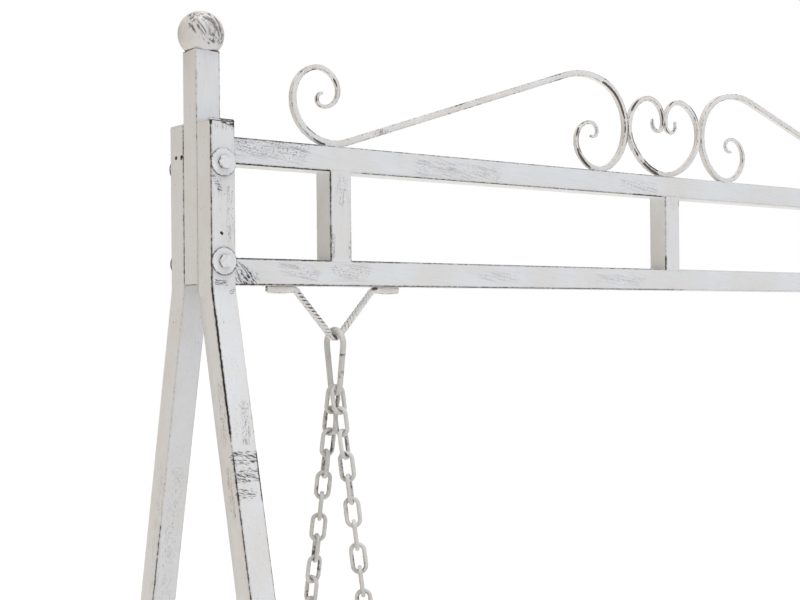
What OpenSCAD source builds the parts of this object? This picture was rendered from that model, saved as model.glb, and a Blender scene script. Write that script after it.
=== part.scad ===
/* [Stand] */
// Width over the end posts
stand_w = 1520; // [1440:10:1800]
// Height of the beam's underside above the ground
beam_z = 1605; // [1500:5:1750]
// Height of the beam over both rails
beam_h = 161; // [145:1:190]
// Outer size of the stand's square tube
tube = 30; // [26:1:34]
// Wall of the stand's square tube
tube_wall = 1.5; // [1.2:0.1:2]
// Radius of the rounded edges of all the square tube
tube_edge = 2.5; // [2.2:0.1:3]
// Height of the end posts above the beam's underside
post_h = 251; // [225:1:320]
// Diameter of the ball on each end post
ball_d = 50; // [46:1:66]
// Height of the balls' middles above the posts
ball_lift = 19; // [17:1:21]
// Height of the legs' tops above the beam's underside
leg_top = 172; // [150:1:215]
// Slope of the legs from the vertical, in degrees
leg_slope = 13.1; // [9:0.1:17]
// Drop of the legs' bend below the beam's underside
bend_drop = 6; // [0:1:40]
// Radius of the legs' bend, to the middle of the tube
bend_r = 60; // [40:5:120]
// Height of the spreaders' middles above the ground
spreader_z = 380; // [250:10:600]
// Outer size of the spreaders' square tube
spreader_tube = 25; // [20:1:30]
// Height of the plastic cups on the feet
cup_h = 30; // [20:1:50]
// Thickness of the cups' soles
cup_sole = 4; // [3:0.5:8]
// Thickness of the cups' walls
cup_wall = 3; // [2:0.5:5]

/* [Bolts] */
// Shank diameter of the stand's bolts
bolt_d = 8; // [6:1:10]
// Width across the flats of the bolt heads and nuts
hex_af = 13; // [11:0.5:16]
// Height of the bolt heads
head_h = 5.3; // [4:0.1:7]
// Height of the nuts
nut_h = 6.5; // [5:0.1:8]
// Outer diameter of the washers
washer_d = 30; // [20:1:30]
// Thickness of the washers
washer_t = 1.6; // [1:0.1:3]
// Height of the lower leg bolt above the beam's underside
bolt_low = 24; // [17:1:40]
// Height of the upper leg bolt above the beam's underside
bolt_high = 128; // [110:1:130]

/* [Scrolls] */
// Size of the square bar in the long scrolls
scroll_bar = 8; // [6:0.5:10]
// Size of the square bar in the hearts
heart_bar = 7; // [5:0.5:9]
// Size to which the scroll ends are drawn down
scroll_tip = 3.6; // [2.5:0.1:5]
// Radius of the widest arc in the long scrolls' small curls
small_curl_r = 60; // [57:1:62]
// Radius of the widest arc in the long scrolls' large curls
large_curl_r = 113; // [108:1:115]
// Radius of the widest arc in the hearts
heart_r = 83; // [78:1:86]
// Radius of the widest arc in the scrolls under the arms
side_curl_r = 36; // [30:1:37]
// Radius of the widest arc in the arms' curled ends
arm_curl_r = 46; // [38:1:50]
// Length of the straight stretch of the beam's scrolls
scroll_run = 378; // [250:2:420]
// Length of the straight stretch of the back's scrolls
back_run = 300; // [200:2:330]

/* [Hangers] */
// Distance of each hanger from the end post beside it, from middle to middle
hanger_in = 172; // [150:2:200]
// Half width of a hanger over its tabs
hanger_half = 92; // [80:1:110]
// Length of each tab under the beam
tab_len = 34; // [25:1:40]
// Size of the hangers' twisted square bar
hanger_bar = 7; // [6:0.5:9]
// Depth of the hangers' eyes below the beam, to the middle of the bar
hanger_drop = 58.2; // [50:0.2:70]
// Diameter of the bar where it is forged round in the eye
eye_bar = 9; // [8:0.5:10]
// Radius of the round bend in the eye, to the middle of the bar
eye_bend = 10; // [9:0.5:14]
// Radius of the bends at the tabs
tab_bend = 8; // [6:0.5:14]
// Length of one full turn of the twist
twist_lead = 26; // [18:1:40]

/* [Carabiners] */
// Overall length of a carabiner
carabiner_l = 80; // [76:1:88]
// Wire diameter of the carabiners
carabiner_wire = 7; // [6:0.5:8]
// Inner radius of the wide end
carabiner_top_r = 13; // [11:0.5:15]
// Inner radius of the narrow end
carabiner_low_r = 5.5; // [5.4:0.1:7]
// Distance from the wide end's straight to the gate's joint
nose_len = 9; // [8:0.1:11]
// Length of the gate from its joint to its pin
gate_len = 22.5; // [19:0.5:26]
// Diameter of the gate's pin
gate_pin_d = 2; // [1.6:0.1:2.6]
// Thickness of the tongue that carries the gate
tongue_t = 3; // [2.4:0.1:3.6]

/* [Chains] */
// Wire diameter of the links
link_wire = 5; // [4:0.2:5]
// Outer width of a link
link_w = 20; // [19:0.5:24]
// Wanted inner length of a link
link_inner = 26; // [22:0.5:34]
// Slope of each chain from the vertical, in degrees
chain_slope = 11.8; // [9:0.1:14]
// Twist of the front chains' middle links, in degrees
front_twist = 56; // [53:1:60]
// Twist of the rear chains' middle links, in degrees
rear_twist = 34; // [31:1:40]

/* [Seat] */
// Height of the seat's top above the ground
seat_z = 410; // [380:5:500]
// Depth of the seat over its frame
seat_depth = 520; // [470:5:560]
// Outer size of the seat's square tube
seat_tube = 25; // [20:1:30]
// Wall of the seat's square tube
seat_wall = 1.5; // [1.2:0.1:2]
// Width of a slat
slat_w = 30; // [25:1:45]
// Thickness of a slat
slat_t = 4; // [3:0.5:6]
// Least gap between two slats
slat_gap = 14; // [10:1:20]
// Size of the ribs' square tube
rib_tube = 18; // [15:1:18]
// Height of the arms' tops above the seat
arm_h = 220; // [200:5:260]
// Length of the arms in front of their posts' middles
arm_reach = 60; // [40:5:90]
// Rake of the back from the vertical, in degrees
back_rake = 12; // [6:0.5:18]
// Height of the back's lowest rail above the seat, to its middle
back_low = 70; // [50:5:100]
// Height of the window with the back's bars
bars_h = 190; // [150:5:230]
// Height of the window with the back's scrolls
scroll_h = 140; // [136:1:170]
// Number of upright bars in the back
back_bar_n = 13; // [9:2:17]
// Size of the upright bars in the back
back_bar = 8; // [6:1:12]
// Thickness of the chain lugs on the arms
lug_t = 5; // [4:0.5:6]
// Radius of the lugs' rounded tops
lug_r = 14; // [13:0.5:18]
// Diameter of the holes in the lugs
lug_hole = 12; // [10:0.5:14]

/* [Hidden] */
$fn = 48;

// Clearances: of bolts in tubes, washers and nuts, of caps in tubes, of pieces that hang in each
// other, of pins that turn, and of pieces that are welded where they touch at a line.
bolt_clear = 0.25;
washer_clear = 0.2;
nut_clear = 0.05;
cap_clear = 0.3;
hang_clear = 0.3;
bow_clear = 0.15;
pin_clear = 0.05;
weld_clear = 0.1;
gate_clear = 0.6;
// A straight wire is this much thinner in radius than a bend, and runs this far into it.
wire_step = 0.02;
wire_lap = 0.4;

cap_t = 2;
cap_plug = 10;
bolt_end = 3;
arc_step = 9;
twist_step = 22.5;
eye_step = 7;

post_x = (stand_w - tube) / 2;
hang_x = post_x - hanger_in;
leg_out = tube * 1.5;
rail_len = stand_w - 2 * tube;
bolt_hole = bolt_d + 2 * bolt_clear;

// Segments of the scrolls, each [radius, turn], from the straight stretch or foot to the tip,
// grown with the radius of the widest arc
function grown(segs, r) = [for (s = segs) [s[0] * r / segs[0][0], s[1]]];
s_small = grown([[60, 55], [45, 69], [37, 57], [28.5, 80], [20, 126], [7.6, 170]], small_curl_r);
s_large = grown([[113, 38], [63.5, 129], [44.5, 92], [26.7, 124], [14, 46], [8.5, 154]], large_curl_r);
heart_curl = grown([[83, 55], [44.3, 113], [29, 118.5], [9.9, 88], [11.3, 97]], heart_r);
heart_start = 2.6;
side_curl = grown([[36, 70], [24, 90], [14, 110], [7, 150]], side_curl_r);
side_heading = 62;
arm_curl_arcs = grown([[46, 100], [30, 100], [17, 110], [8, 120]], arm_curl_r);
scroll_draw = 240;
heart_draw = 120;
side_draw = 110;

// Hanger eye, carabiner and chain line, in one upright plane across the beam
pivot_z = beam_z - hanger_drop;
wire_r = carabiner_wire / 2;
top_r = carabiner_top_r + wire_r;
low_r = carabiner_low_r + wire_r;
ring_z = pivot_z + eye_bar / 2 + hang_clear + wire_r - top_r;
ring_gap = carabiner_l - top_r - low_r - 2 * wire_r;
ring_lean = asin((top_r - low_r) / ring_gap);
side_len = ring_gap * cos(ring_lean);
gate_pin_run = nose_len + gate_clear + gate_len;
// Middle of the first link's upper bow: two bows lie side by side in the narrow end
bow_r = (link_w - link_wire) / 2;
chain_top_y = link_wire / 2 + bow_clear;
chain_top_z = ring_z - ring_gap
    - sqrt(max(0, pow(carabiner_low_r - link_wire / 2 - bow_clear, 2) - pow(chain_top_y, 2)));

// Arms, lugs and seat, tied to the chains' lower ends
arm_z = seat_z + arm_h;
lug_z = arm_z + lug_r;
lug_y = chain_top_y + (chain_top_z - lug_z) * tan(chain_slope);
// The last bow rises on both sides of the lug, so it meets the edges of the hole first.
lug_seat = lug_hole / 2 - hang_clear - bow_r + sqrt(pow(bow_r - link_wire / 2, 2) - pow(lug_t / 2, 2));
chain_len = (chain_top_z - lug_z) / cos(chain_slope) - lug_seat;
link_n = 2 * round(((chain_len - link_wire) / link_inner - 1) / 2) + 1;
link_pitch = (chain_len - link_wire - hang_clear) / link_n;
link_span = link_pitch + hang_clear + 2 * link_wire;

half_cut = seat_tube / 2 / cos(back_rake);
post_y = lug_y + lug_r + 4 + half_cut - arm_h * tan(back_rake);
seat_back = post_y + half_cut + 2;
seat_front = seat_back - seat_depth;
seat_in_x = hang_x - seat_tube / 2;
slat_room = seat_depth - 2 * seat_tube;
slat_n = floor((slat_room - slat_gap) / (slat_w + slat_gap));
slat_pitch = (slat_room - slat_n * slat_w) / (slat_n + 1) + slat_w;
rib_top = seat_z - 1 - slat_t;
back_mid = back_low + seat_tube + bars_h;
back_top = back_mid + seat_tube + scroll_h;
back_len = back_top + seat_tube / 2 + 12;

STAND = [
    "beam_top_rail", "beam_bottom_rail", "beam_posts", "end_post_left", "end_post_right",
    "ball_finial_left", "ball_finial_right", "beam_scroll_left", "beam_scroll_right",
    "beam_heart_left", "beam_heart_right", "hanger_left", "hanger_right",
    "leg_front_left", "leg_front_right", "leg_rear_left", "leg_rear_right",
    "leg_top_caps", "foot_cups", "spreader_left", "spreader_right", "spreader_caps",
    "beam_bolts", "spreader_bolts", "bolt_washers", "bolt_nuts"];
SWING = [
    "carabiner_left", "carabiner_right", "gate_pins",
    "chain_front_left", "chain_front_right", "chain_rear_left", "chain_rear_right", "chain_lugs",
    "seat_front_rail", "seat_rear_rail", "seat_side_rail_left", "seat_side_rail_right",
    "seat_ribs", "seat_slats", "seat_tube_caps", "back_post_left", "back_post_right",
    "back_top_rail", "back_middle_rail", "back_bottom_rail", "back_bars",
    "back_heart_left", "back_heart_right", "back_scroll_left", "back_scroll_right",
    "arm_left", "arm_right", "arm_post_left", "arm_post_right", "arm_curls",
    "side_scroll_left", "side_scroll_right"];
GATES = ["gate_left", "gate_right"];

white = "#dfe1e1";
iron = "#b9b6ae";
plastic = "#3a3a3c";

// ---- shapes ----

// Square with rounded corners
module section(size, r) {
    square([size, size - 2 * r], center = true);
    square([size - 2 * r, size], center = true);
    for (x = [r - size / 2, size / 2 - r], y = [r - size / 2, size / 2 - r]) translate([x, y]) circle(r);
}
// Square tube along Z, middle of its section on the axis, open at both ends
module tube_z(size, wall, length) {
    difference() {
        linear_extrude(length) section(size, tube_edge);
        translate([0, 0, -1]) linear_extrude(length + 2) section(size - 2 * wall, tube_edge - wall + 0.1);
    }
}
module tube_x(size, wall, x, length) {
    translate([x, 0, 0]) rotate([0, 90, 0]) tube_z(size, wall, length);
}
module tube_y(size, wall, y, length) {
    translate([0, y, 0]) rotate([-90, 0, 0]) tube_z(size, wall, length);
}
// Outline in the Y-Z plane, pushed out along X about the middle
module side_plate(points, t) {
    translate([-t / 2, 0, 0]) rotate([90, 0, 90]) linear_extrude(t) polygon(points);
}
// Cap with its plate on z = 0 to cap_t and its plug below
module tube_cap(size, wall) {
    inner = size - 2 * wall - 2 * cap_clear;
    translate([-size / 2, -size / 2, 0]) cube([size, size, cap_t]);
    translate([-inner / 2, -inner / 2, -cap_plug]) cube([inner, inner, cap_plug]);
}
module mirrored(side) {
    mirror([side < 0 ? 0 : 1, 0, 0]) children();
}

// Path: a list of [x, z, heading, run] from segments [radius, turn] or [0, length]
function step_end(p, h, r, a) = r == 0
    ? p + a * [cos(h), sin(h)]
    : p + sign(a) * r * [sin(h + a) - sin(h), cos(h) - cos(h + a)];
function step_len(r, a) = r == 0 ? a : r * abs(a) * PI / 180;
function walk(segs, p, h, s, i = 0) = i == len(segs) ? [] :
    let (r = segs[i][0], a = segs[i][1], n = r == 0 ? 1 : ceil(abs(a) / arc_step))
    concat(
        [for (k = [1:n]) let (q = step_end(p, h, r, a * k / n), t = r == 0 ? h : h + a * k / n)
            [q.x, q.y, t, s + step_len(r, a * k / n)]],
        walk(segs, step_end(p, h, r, a), r == 0 ? h : h + a, s + step_len(r, a), i + 1));
function path(segs, h) = concat([[0, 0, h, 0]], walk(segs, [0, 0], h, 0));
function turned(segs, way) = [for (s = segs) [s[0], way * s[1]]];
function reversed(v) = [for (i = [len(v) - 1:-1:0]) v[i]];
function total(segs, i = 0) = i == len(segs) ? 0 : segs[i][1] + total(segs, i + 1);
function run_of(p) = p[len(p) - 1][3];

// Size of a bar that is drawn down to a tip over the length "draw"
function drawn(bar, draw, left) = bar - (bar - scroll_tip) * pow(max(0, 1 - left / draw), 1.5);
// Corners of the bar's section at a point of a path
function ring(p, size) = [for (k = [0:3]) let (u = size / 2 * [1, 1, -1, -1][k], v = size / 2 * [1, -1, -1, 1][k])
    [p[0] - u * sin(p[2]), v, p[1] + u * cos(p[2])]];
// Closed skin over a list of rings
module skin(rings) {
    n = len(rings[0]);
    m = len(rings);
    polyhedron(
        points = [for (r = rings) each r],
        faces = concat(
            [for (i = [1:n - 2]) [0, i, i + 1]],
            [for (i = [1:n - 2]) [m * n - n, m * n - n + i + 1, m * n - n + i]],
            [for (j = [0:m - 2], i = [0:n - 1]) [j * n + i, j * n + n + i, j * n + (i + 1) % n]],
            [for (j = [0:m - 2], i = [0:n - 1])
                [j * n + (i + 1) % n, j * n + n + i, j * n + n + (i + 1) % n]]));
}
function low_of(rings) = min([for (r = rings) each [for (q = r) q[2]]]);
function high_of(rings) = max([for (r = rings) each [for (q = r) q[2]]]);
function right_of(rings) = max([for (r = rings) each [for (q = r) q[0]]]);

// ---- scrolls ----

// Long scroll from the small curl's tip to the large curl's tip, its straight at the slope h
function long_segs(length) = concat(turned(reversed(s_small), 1), [[0, length]], turned(s_large, -1));
function long_path(length, h) = path(long_segs(length), h - total(s_small));
function long_rings(length, h) = let (p = long_path(length, h), all = run_of(p))
    [for (q = p) ring(q, drawn(scroll_bar, scroll_draw, min(q[3], all - q[3])))];
// How much lower the large curl would lie than the small one
function unlevel(length, h) = let (r = long_rings(length, h), n = floor(len(r) / 2))
    low_of([for (i = [0:n]) r[i]]) - low_of([for (i = [n:len(r) - 1]) r[i]]);
// Slope at which both curls stand on the rail
function level_slope(length, lo = 2, hi = 60, i = 0) = let (mid = (lo + hi) / 2)
    i == 16 ? mid :
    unlevel(length, mid) > 0 ? level_slope(length, mid, hi, i + 1) : level_slope(length, lo, mid, i + 1);

function heart_size(p, q) = drawn(heart_bar, heart_draw, run_of(p) - q[3]);
// Length added at the heart's foot, so that both lobes meet over the middle
function heart_foot() = let (p = path(heart_curl, heart_start))
    weld_clear - min([for (q = p) if (q[2] > 200 && q[2] < 340) q[0] - heart_size(p, q) / 2]);
function heart_rings() = let (p = path(concat([[0, heart_foot()]], heart_curl), heart_start))
    [for (q = p) ring([q[0] + weld_clear / 2, q[1], q[2]], heart_size(p, q))];
heart_half = right_of(heart_rings());

// Half of a heart, to the right of the middle, standing on z = 0
module heart_right() {
    rings = heart_rings();
    translate([0, 0, weld_clear - low_of(rings)]) skin(rings);
}
// Long scroll to the left of the heart, standing on z = 0
module long_left(length) {
    rings = long_rings(length, level_slope(length));
    translate([-right_of(rings) - heart_half - weld_clear, 0, weld_clear - low_of(rings)]) skin(rings);
}

// Upright S between two rails, its length found from the height of the window
function side_rings(run) =
    let (p = path(concat(turned(reversed(side_curl), 1), [[0, run]], turned(side_curl, -1)),
            side_heading - total(side_curl)), all = run_of(p))
    [for (q = p) ring(q, drawn(scroll_bar, side_draw, min(q[3], all - q[3])))];
module upright_s(height) {
    bare = side_rings(1);
    run = 1 + (height - 2 * weld_clear - high_of(bare) + low_of(bare)) / sin(side_heading);
    rings = side_rings(run);
    middle = (rings[0][0][0] + rings[len(rings) - 1][0][0]) / 2;
    translate([-middle, 0, weld_clear - low_of(rings)]) skin(rings);
}

// ---- beam ----

module beam_rail(z) {
    color(white) translate([0, 0, z]) tube_x(tube, tube_wall, -rail_len / 2, rail_len);
}
module beam_posts() {
    color(white) for (x = [-hang_x, 0, hang_x])
        translate([x, 0, beam_z + tube]) tube_z(tube, tube_wall, beam_h - 2 * tube);
}
module end_post(side) {
    color(white) translate([side * post_x, 0, beam_z]) difference() {
        tube_z(tube, tube_wall, post_h);
        for (z = [bolt_low, bolt_high])
            translate([0, 0, z]) rotate([90, 0, 0]) cylinder(d = bolt_hole, h = 2 * tube, center = true);
    }
}
module ball_finial(side) {
    inner = tube - 2 * tube_wall - 2 * cap_clear;
    color(white) translate([side * post_x, 0, beam_z + post_h]) {
        difference() {
            translate([0, 0, ball_lift]) sphere(d = ball_d, $fn = 64);
            translate([-ball_d, -ball_d, -2 * ball_d]) cube(2 * ball_d);
        }
        translate([-inner / 2, -inner / 2, -cap_plug]) cube([inner, inner, cap_plug]);
    }
}
module beam_scroll(side) {
    color(white) mirrored(side) translate([0, 0, beam_z + beam_h]) long_left(scroll_run);
}
module beam_heart(side) {
    color(white) mirrored(-side) translate([0, 0, beam_z + beam_h]) heart_right();
}

// ---- hangers ----

// Slope of a hanger's arms, from its width, depth and bends
arm_bends = tab_bend + eye_bend;
arm_across = hanger_half - tab_len;
arm_down = hanger_drop - hanger_bar / 2;
arm_tilt = asin(arm_bends / norm([arm_across, arm_bends - arm_down]))
    - atan2(arm_bends - arm_down, arm_across);
arm_run = (arm_across - arm_bends * sin(arm_tilt)) / cos(arm_tilt);
arm_twist = 90 * round(4 * arm_run / twist_lead);
arm_n = arm_twist / twist_step;

// Eight corners of the section, from square (m = 0) to round (m = 1), turned about the path
function eye_ring(p, turn, m) = [for (k = [8:-1:1]) let (
    square = hanger_bar / 2 * (k % 2 == 0 ? 1 : sqrt(2)),
    r = (1 - m) * square + m * eye_bar / 2,
    u = r * cos(45 * k + turn), v = r * sin(45 * k + turn))
    [p.x - u * sin(p.z), v, p.y + u * cos(p.z)]];
function hanger_rings() = let (
    tab = [tab_bend * sin(arm_tilt), -tab_bend * (1 - cos(arm_tilt))],
    knee = [tab_len - hanger_half, -hanger_bar / 2] + tab,
    low = knee + arm_run * [cos(arm_tilt), -sin(arm_tilt)],
    up = [-low.x, low.y],
    bend_n = ceil(2 * arm_tilt / eye_step))
    concat(
        [eye_ring([-hanger_half, -hanger_bar / 2, 0], 0, 0)],
        [for (k = [0:6]) let (a = arm_tilt * k / 6)
            eye_ring([tab_len - hanger_half + tab_bend * sin(a), -hanger_bar / 2 - tab_bend * (1 - cos(a)), -a], 0, 0)],
        [for (k = [1:arm_n]) let (s = k / arm_n, q = knee + s * (low - knee))
            eye_ring([q.x, q.y, -arm_tilt], arm_twist * s, max(0, min(1, (s - 0.9) * 10)))],
        [for (k = [1:bend_n]) let (a = arm_tilt * (2 * k / bend_n - 1))
            eye_ring([eye_bend * sin(a), -hanger_drop + eye_bend * (1 - cos(a)), a], arm_twist, 1)],
        [for (k = [1:arm_n]) let (s = k / arm_n, q = up + s * ([-knee.x, knee.y] - up))
            eye_ring([q.x, q.y, arm_tilt], arm_twist * (1 + s), max(0, min(1, (0.1 - s) * 10)))],
        [for (k = [1:6]) let (a = arm_tilt * (1 - k / 6))
            eye_ring([hanger_half - tab_len - tab_bend * sin(a), -hanger_bar / 2 - tab_bend * (1 - cos(a)), a],
                2 * arm_twist, 0)],
        [eye_ring([hanger_half, -hanger_bar / 2, 0], 2 * arm_twist, 0)]);
module hanger(side) {
    color(white) translate([side * hang_x, 0, beam_z]) skin(hanger_rings());
}

// ---- legs ----

// One side of a leg's outline: o is the distance outwards from the tube's middle
function leg_line(o, z_low, z_high) = let (
    z_bend = beam_z - bend_drop + bend_r * tan(leg_slope / 2),
    r = bend_r - o,
    w_end = tube + bend_r - r * cos(leg_slope),
    z_end = z_bend - r * sin(leg_slope))
    concat(
        [[tube + o, z_high]],
        [for (k = [0:6]) let (a = leg_slope * k / 6) [tube + bend_r - r * cos(a), z_bend - r * sin(a)]],
        [[w_end + (z_end - z_low) * tan(leg_slope), z_low]]);
function leg_outline(half, z_low, z_high) =
    concat(leg_line(half, z_low, z_high), reversed(leg_line(-half, z_low, z_high)));
// Distance of a leg's middle from the beam's middle at a height below the bend
function leg_at(z) = tube + (beam_z - bend_drop - z) * tan(leg_slope);
function fronted(points, way) = [for (p = points) [way * p.x, p.y]];

// Solid bar with the outline of a rear leg: upright, bent and sloping
module leg_bar(size, r) {
    z_bend = beam_z - bend_drop + bend_r * tan(leg_slope / 2);
    upright = beam_z + leg_top - z_bend;
    translate([0, tube, z_bend]) {
        translate([0, 0, -wire_lap]) linear_extrude(upright + wire_lap) section(size - 2 * wire_step, r);
        translate([0, bend_r, 0]) {
            rotate([90, 0, 90]) rotate([0, 0, 180]) rotate_extrude(angle = leg_slope)
                translate([bend_r, 0]) section(size, r);
            rotate([leg_slope, 0, 0]) translate([0, -bend_r, -z_bend / cos(leg_slope)])
                linear_extrude(z_bend / cos(leg_slope) + wire_lap) section(size - 2 * wire_step, r);
        }
    }
}
module leg(side, way) {
    color(white) translate([side * post_x, 0, 0]) mirror([0, way < 0 ? 1 : 0, 0]) difference() {
        leg_bar(tube, tube_edge);
        leg_bar(tube - 2 * tube_wall, tube_edge - tube_wall + 0.1);
        translate([-tube, -tube, -2 * tube]) cube([2 * tube, beam_z, 2 * tube + cup_sole]);
        for (z = [bolt_low, bolt_high])
            translate([0, tube, beam_z + z]) rotate([90, 0, 0])
                cylinder(d = bolt_hole, h = 1.5 * tube, center = true);
        translate([0, leg_at(spreader_z), spreader_z]) rotate([0, 90, 0])
            cylinder(d = bolt_hole, h = 2 * tube, center = true);
    }
}
module leg_top_caps() {
    color(white) for (x = [-post_x, post_x], y = [-tube, tube])
        translate([x, y, beam_z + leg_top]) tube_cap(tube, tube_wall);
}
module foot_cup(side, way) {
    outer = tube / 2 + cap_clear + cup_wall;
    foot = leg_at(0);
    slope = tan(leg_slope);
    lean = outer / cos(leg_slope);
    translate([side * post_x, 0, 0]) difference() {
        side_plate(fronted([[foot - lean, 0], [foot + lean, 0],
            [foot + lean - cup_h * slope, cup_h], [foot - lean - cup_h * slope, cup_h]], way), 2 * outer);
        side_plate(fronted(leg_outline(tube / 2 + cap_clear, cup_sole, beam_z), way), tube + 2 * cap_clear);
    }
}
module foot_cups() {
    color(plastic) for (side = [-1, 1], way = [-1, 1]) foot_cup(side, way);
}
spreader_x = post_x - tube / 2 - spreader_tube / 2;
spreader_half = leg_at(spreader_z) + 22;
module spreader(side) {
    color(white) translate([side * spreader_x, 0, spreader_z]) difference() {
        tube_y(spreader_tube, tube_wall, -spreader_half, 2 * spreader_half);
        for (way = [-1, 1]) translate([0, way * leg_at(spreader_z), 0]) rotate([0, 90, 0])
            cylinder(d = bolt_hole, h = 2 * spreader_tube, center = true);
    }
}
module spreader_caps() {
    color(white) for (side = [-1, 1], way = [-1, 1])
        translate([side * spreader_x, way * spreader_half, spreader_z])
            rotate([-way * 90, 0, 0]) tube_cap(spreader_tube, tube_wall);
}

// ---- fasteners ----

module hex(h) {
    intersection() {
        cylinder(d = hex_af / cos(30), h = h, $fn = 6);
        cylinder(r1 = hex_af / 2 + 2 * h, r2 = hex_af / 2 - 0.2, h = h, $fn = 48);
    }
}
// Bolt whose head rests on z = 0 and whose shank points up
module bolt(grip) {
    mirror([0, 0, 1]) hex(head_h);
    cylinder(d = bolt_d, h = grip + nut_h + bolt_end);
}
module washer() {
    difference() {
        cylinder(d = washer_d, h = washer_t);
        translate([0, 0, -1]) cylinder(d = bolt_d + 2 * washer_clear, h = washer_t + 2);
    }
}
module nut() {
    difference() {
        hex(nut_h);
        translate([0, 0, -1]) cylinder(d = bolt_d + 2 * nut_clear, h = nut_h + 2);
    }
}
// Places of the bolts: their heads' washers lie on z = 0 of each
module at_leg_bolts() {
    for (x = [-post_x, post_x], z = [bolt_low, bolt_high])
        translate([x, -leg_out, beam_z + z]) rotate([-90, 0, 0]) children();
}
module at_spreader_bolts() {
    for (side = [-1, 1], way = [-1, 1])
        translate([side * (post_x + tube / 2), way * leg_at(spreader_z), spreader_z])
            rotate([0, -side * 90, 0]) children();
}
leg_grip = 2 * leg_out;
spreader_grip = tube + spreader_tube;
module beam_bolts() {
    color(iron) at_leg_bolts() translate([0, 0, -washer_t]) bolt(leg_grip + 2 * washer_t);
}
module spreader_bolts() {
    color(iron) at_spreader_bolts() translate([0, 0, -washer_t]) bolt(spreader_grip + 2 * washer_t);
}
module bolt_washers() {
    color(iron) {
        at_leg_bolts() {
            translate([0, 0, -washer_t]) washer();
            translate([0, 0, leg_grip]) washer();
        }
        at_spreader_bolts() {
            translate([0, 0, -washer_t]) washer();
            translate([0, 0, spreader_grip]) washer();
        }
    }
}
module bolt_nuts() {
    color(iron) {
        at_leg_bolts() translate([0, 0, leg_grip + washer_t]) nut();
        at_spreader_bolts() translate([0, 0, spreader_grip + washer_t]) nut();
    }
}

// ---- carabiners ----

// Children drawn flat, x to the rear and y up, about the middle of a carabiner's wide end
module in_carabiner(side) {
    translate([side * hang_x, 0, ring_z]) rotate([90, 0, 90]) children();
}
// Children drawn about the front straight: y from its upper end down to its lower end
module on_front_side() {
    translate([-top_r * cos(ring_lean), -top_r * sin(ring_lean), 0]) rotate([0, 0, ring_lean - 180])
        mirror([1, 0, 0]) children();
}
module wire_arc(r, from, turn) {
    rotate([0, 0, from]) rotate_extrude(angle = turn) translate([r, 0]) circle(d = carabiner_wire);
}
module wire_y(from, length) {
    translate([0, from, 0]) rotate([-90, 0, 0]) cylinder(r = wire_r - wire_step, h = length);
}
stub_from = gate_pin_run + wire_r + gate_clear / 2;
module carabiner(side) {
    color(iron) in_carabiner(side) {
        wire_arc(top_r, -ring_lean, 180 + 2 * ring_lean);
        translate([0, -ring_gap, 0]) wire_arc(low_r, ring_lean - 180, 180 - 2 * ring_lean);
        mirror([1, 0, 0]) on_front_side() wire_y(-wire_lap, side_len + 2 * wire_lap);
        on_front_side() {
            wire_y(-wire_lap, nose_len + wire_lap);
            wire_y(stub_from, side_len - stub_from + wire_lap);
            difference() {
                union() {
                    translate([0, gate_pin_run, 0]) cylinder(r = wire_r - 0.4, h = tongue_t, center = true);
                    translate([0.4 - wire_r, gate_pin_run, -tongue_t / 2])
                        cube([2 * wire_r - 0.8, stub_from - gate_pin_run + 0.5, tongue_t]);
                }
                translate([0, gate_pin_run, 0])
                    cylinder(d = gate_pin_d + 2 * pin_clear, h = 2 * tongue_t, center = true);
            }
        }
    }
}
module gate(side) {
    color(iron) in_carabiner(side) on_front_side() difference() {
        union() {
            wire_y(nose_len + gate_clear, gate_len);
            translate([0, gate_pin_run, 0]) intersection() {
                cylinder(r = wire_r, h = carabiner_wire, center = true);
                rotate([-90, 0, 0]) cylinder(r = wire_r, h = carabiner_wire, center = true);
            }
        }
        translate([-wire_r - 1, gate_pin_run - wire_r - 0.2, -tongue_t / 2 - 0.2])
            cube([2 * wire_r + 2, 3 * wire_r, tongue_t + 0.4]);
        translate([0, gate_pin_run, 0])
            cylinder(d = gate_pin_d + 2 * pin_clear, h = 2 * carabiner_wire, center = true);
    }
}
module gate_pins() {
    color(iron) for (side = [-1, 1]) in_carabiner(side) on_front_side()
        translate([0, gate_pin_run, 0]) cylinder(d = gate_pin_d, h = carabiner_wire - 0.4, center = true);
}

// ---- chains ----

// Link about its middle, its length along Z and its face towards Y
module link() {
    straight = link_span - link_w;
    for (s = [0, 180]) rotate([0, s, 0]) {
        translate([0, 0, straight / 2]) rotate([90, 0, 0]) rotate_extrude(angle = 180)
            translate([bow_r, 0]) circle(d = link_wire);
        translate([bow_r, 0, -straight / 2 - wire_lap])
            cylinder(r = link_wire / 2 - wire_step, h = straight + 2 * wire_lap);
    }
}
// The second links of both chains lie close, so they are turned past each other.
function front_turn(i) = front_twist * lookup(i, [[0, 0], [1, 0.32], [3, 0.6], [5, 1], [link_n * 0.55, 1], [link_n - 1, 0]]);
function rear_turn(i) = rear_twist * lookup(i, [[0, 0], [1, 0.55], [2, 0], [4, -1], [6, -1], [9, 0.35], [link_n - 1, 0]]);
// Chain from the carabiner down to its lug; way is -1 for the front and 1 for the rear
module chain(side, way) {
    color(iron) mirrored(side)
        translate([-hang_x, way * chain_top_y, chain_top_z]) rotate([way * chain_slope, 0, 0])
            for (i = [0:link_n - 1])
                translate([0, 0, link_wire / 2 - link_span / 2 - i * link_pitch])
                    rotate([0, 0, 90 * (i % 2) + (way < 0 ? front_turn(i) : rear_turn(i))]) link();
}
module chain_lugs() {
    color(white) for (side = [-1, 1], way = [-1, 1])
        translate([side * hang_x, way * lug_y, lug_z]) rotate([90, 0, 90]) difference() {
            union() {
                cylinder(r = lug_r, h = lug_t, center = true);
                translate([-lug_r, -lug_r, -lug_t / 2]) cube([2 * lug_r, lug_r, lug_t]);
            }
            cylinder(d = lug_hole, h = 2 * lug_t, center = true);
        }
}

// ---- seat ----

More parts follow.
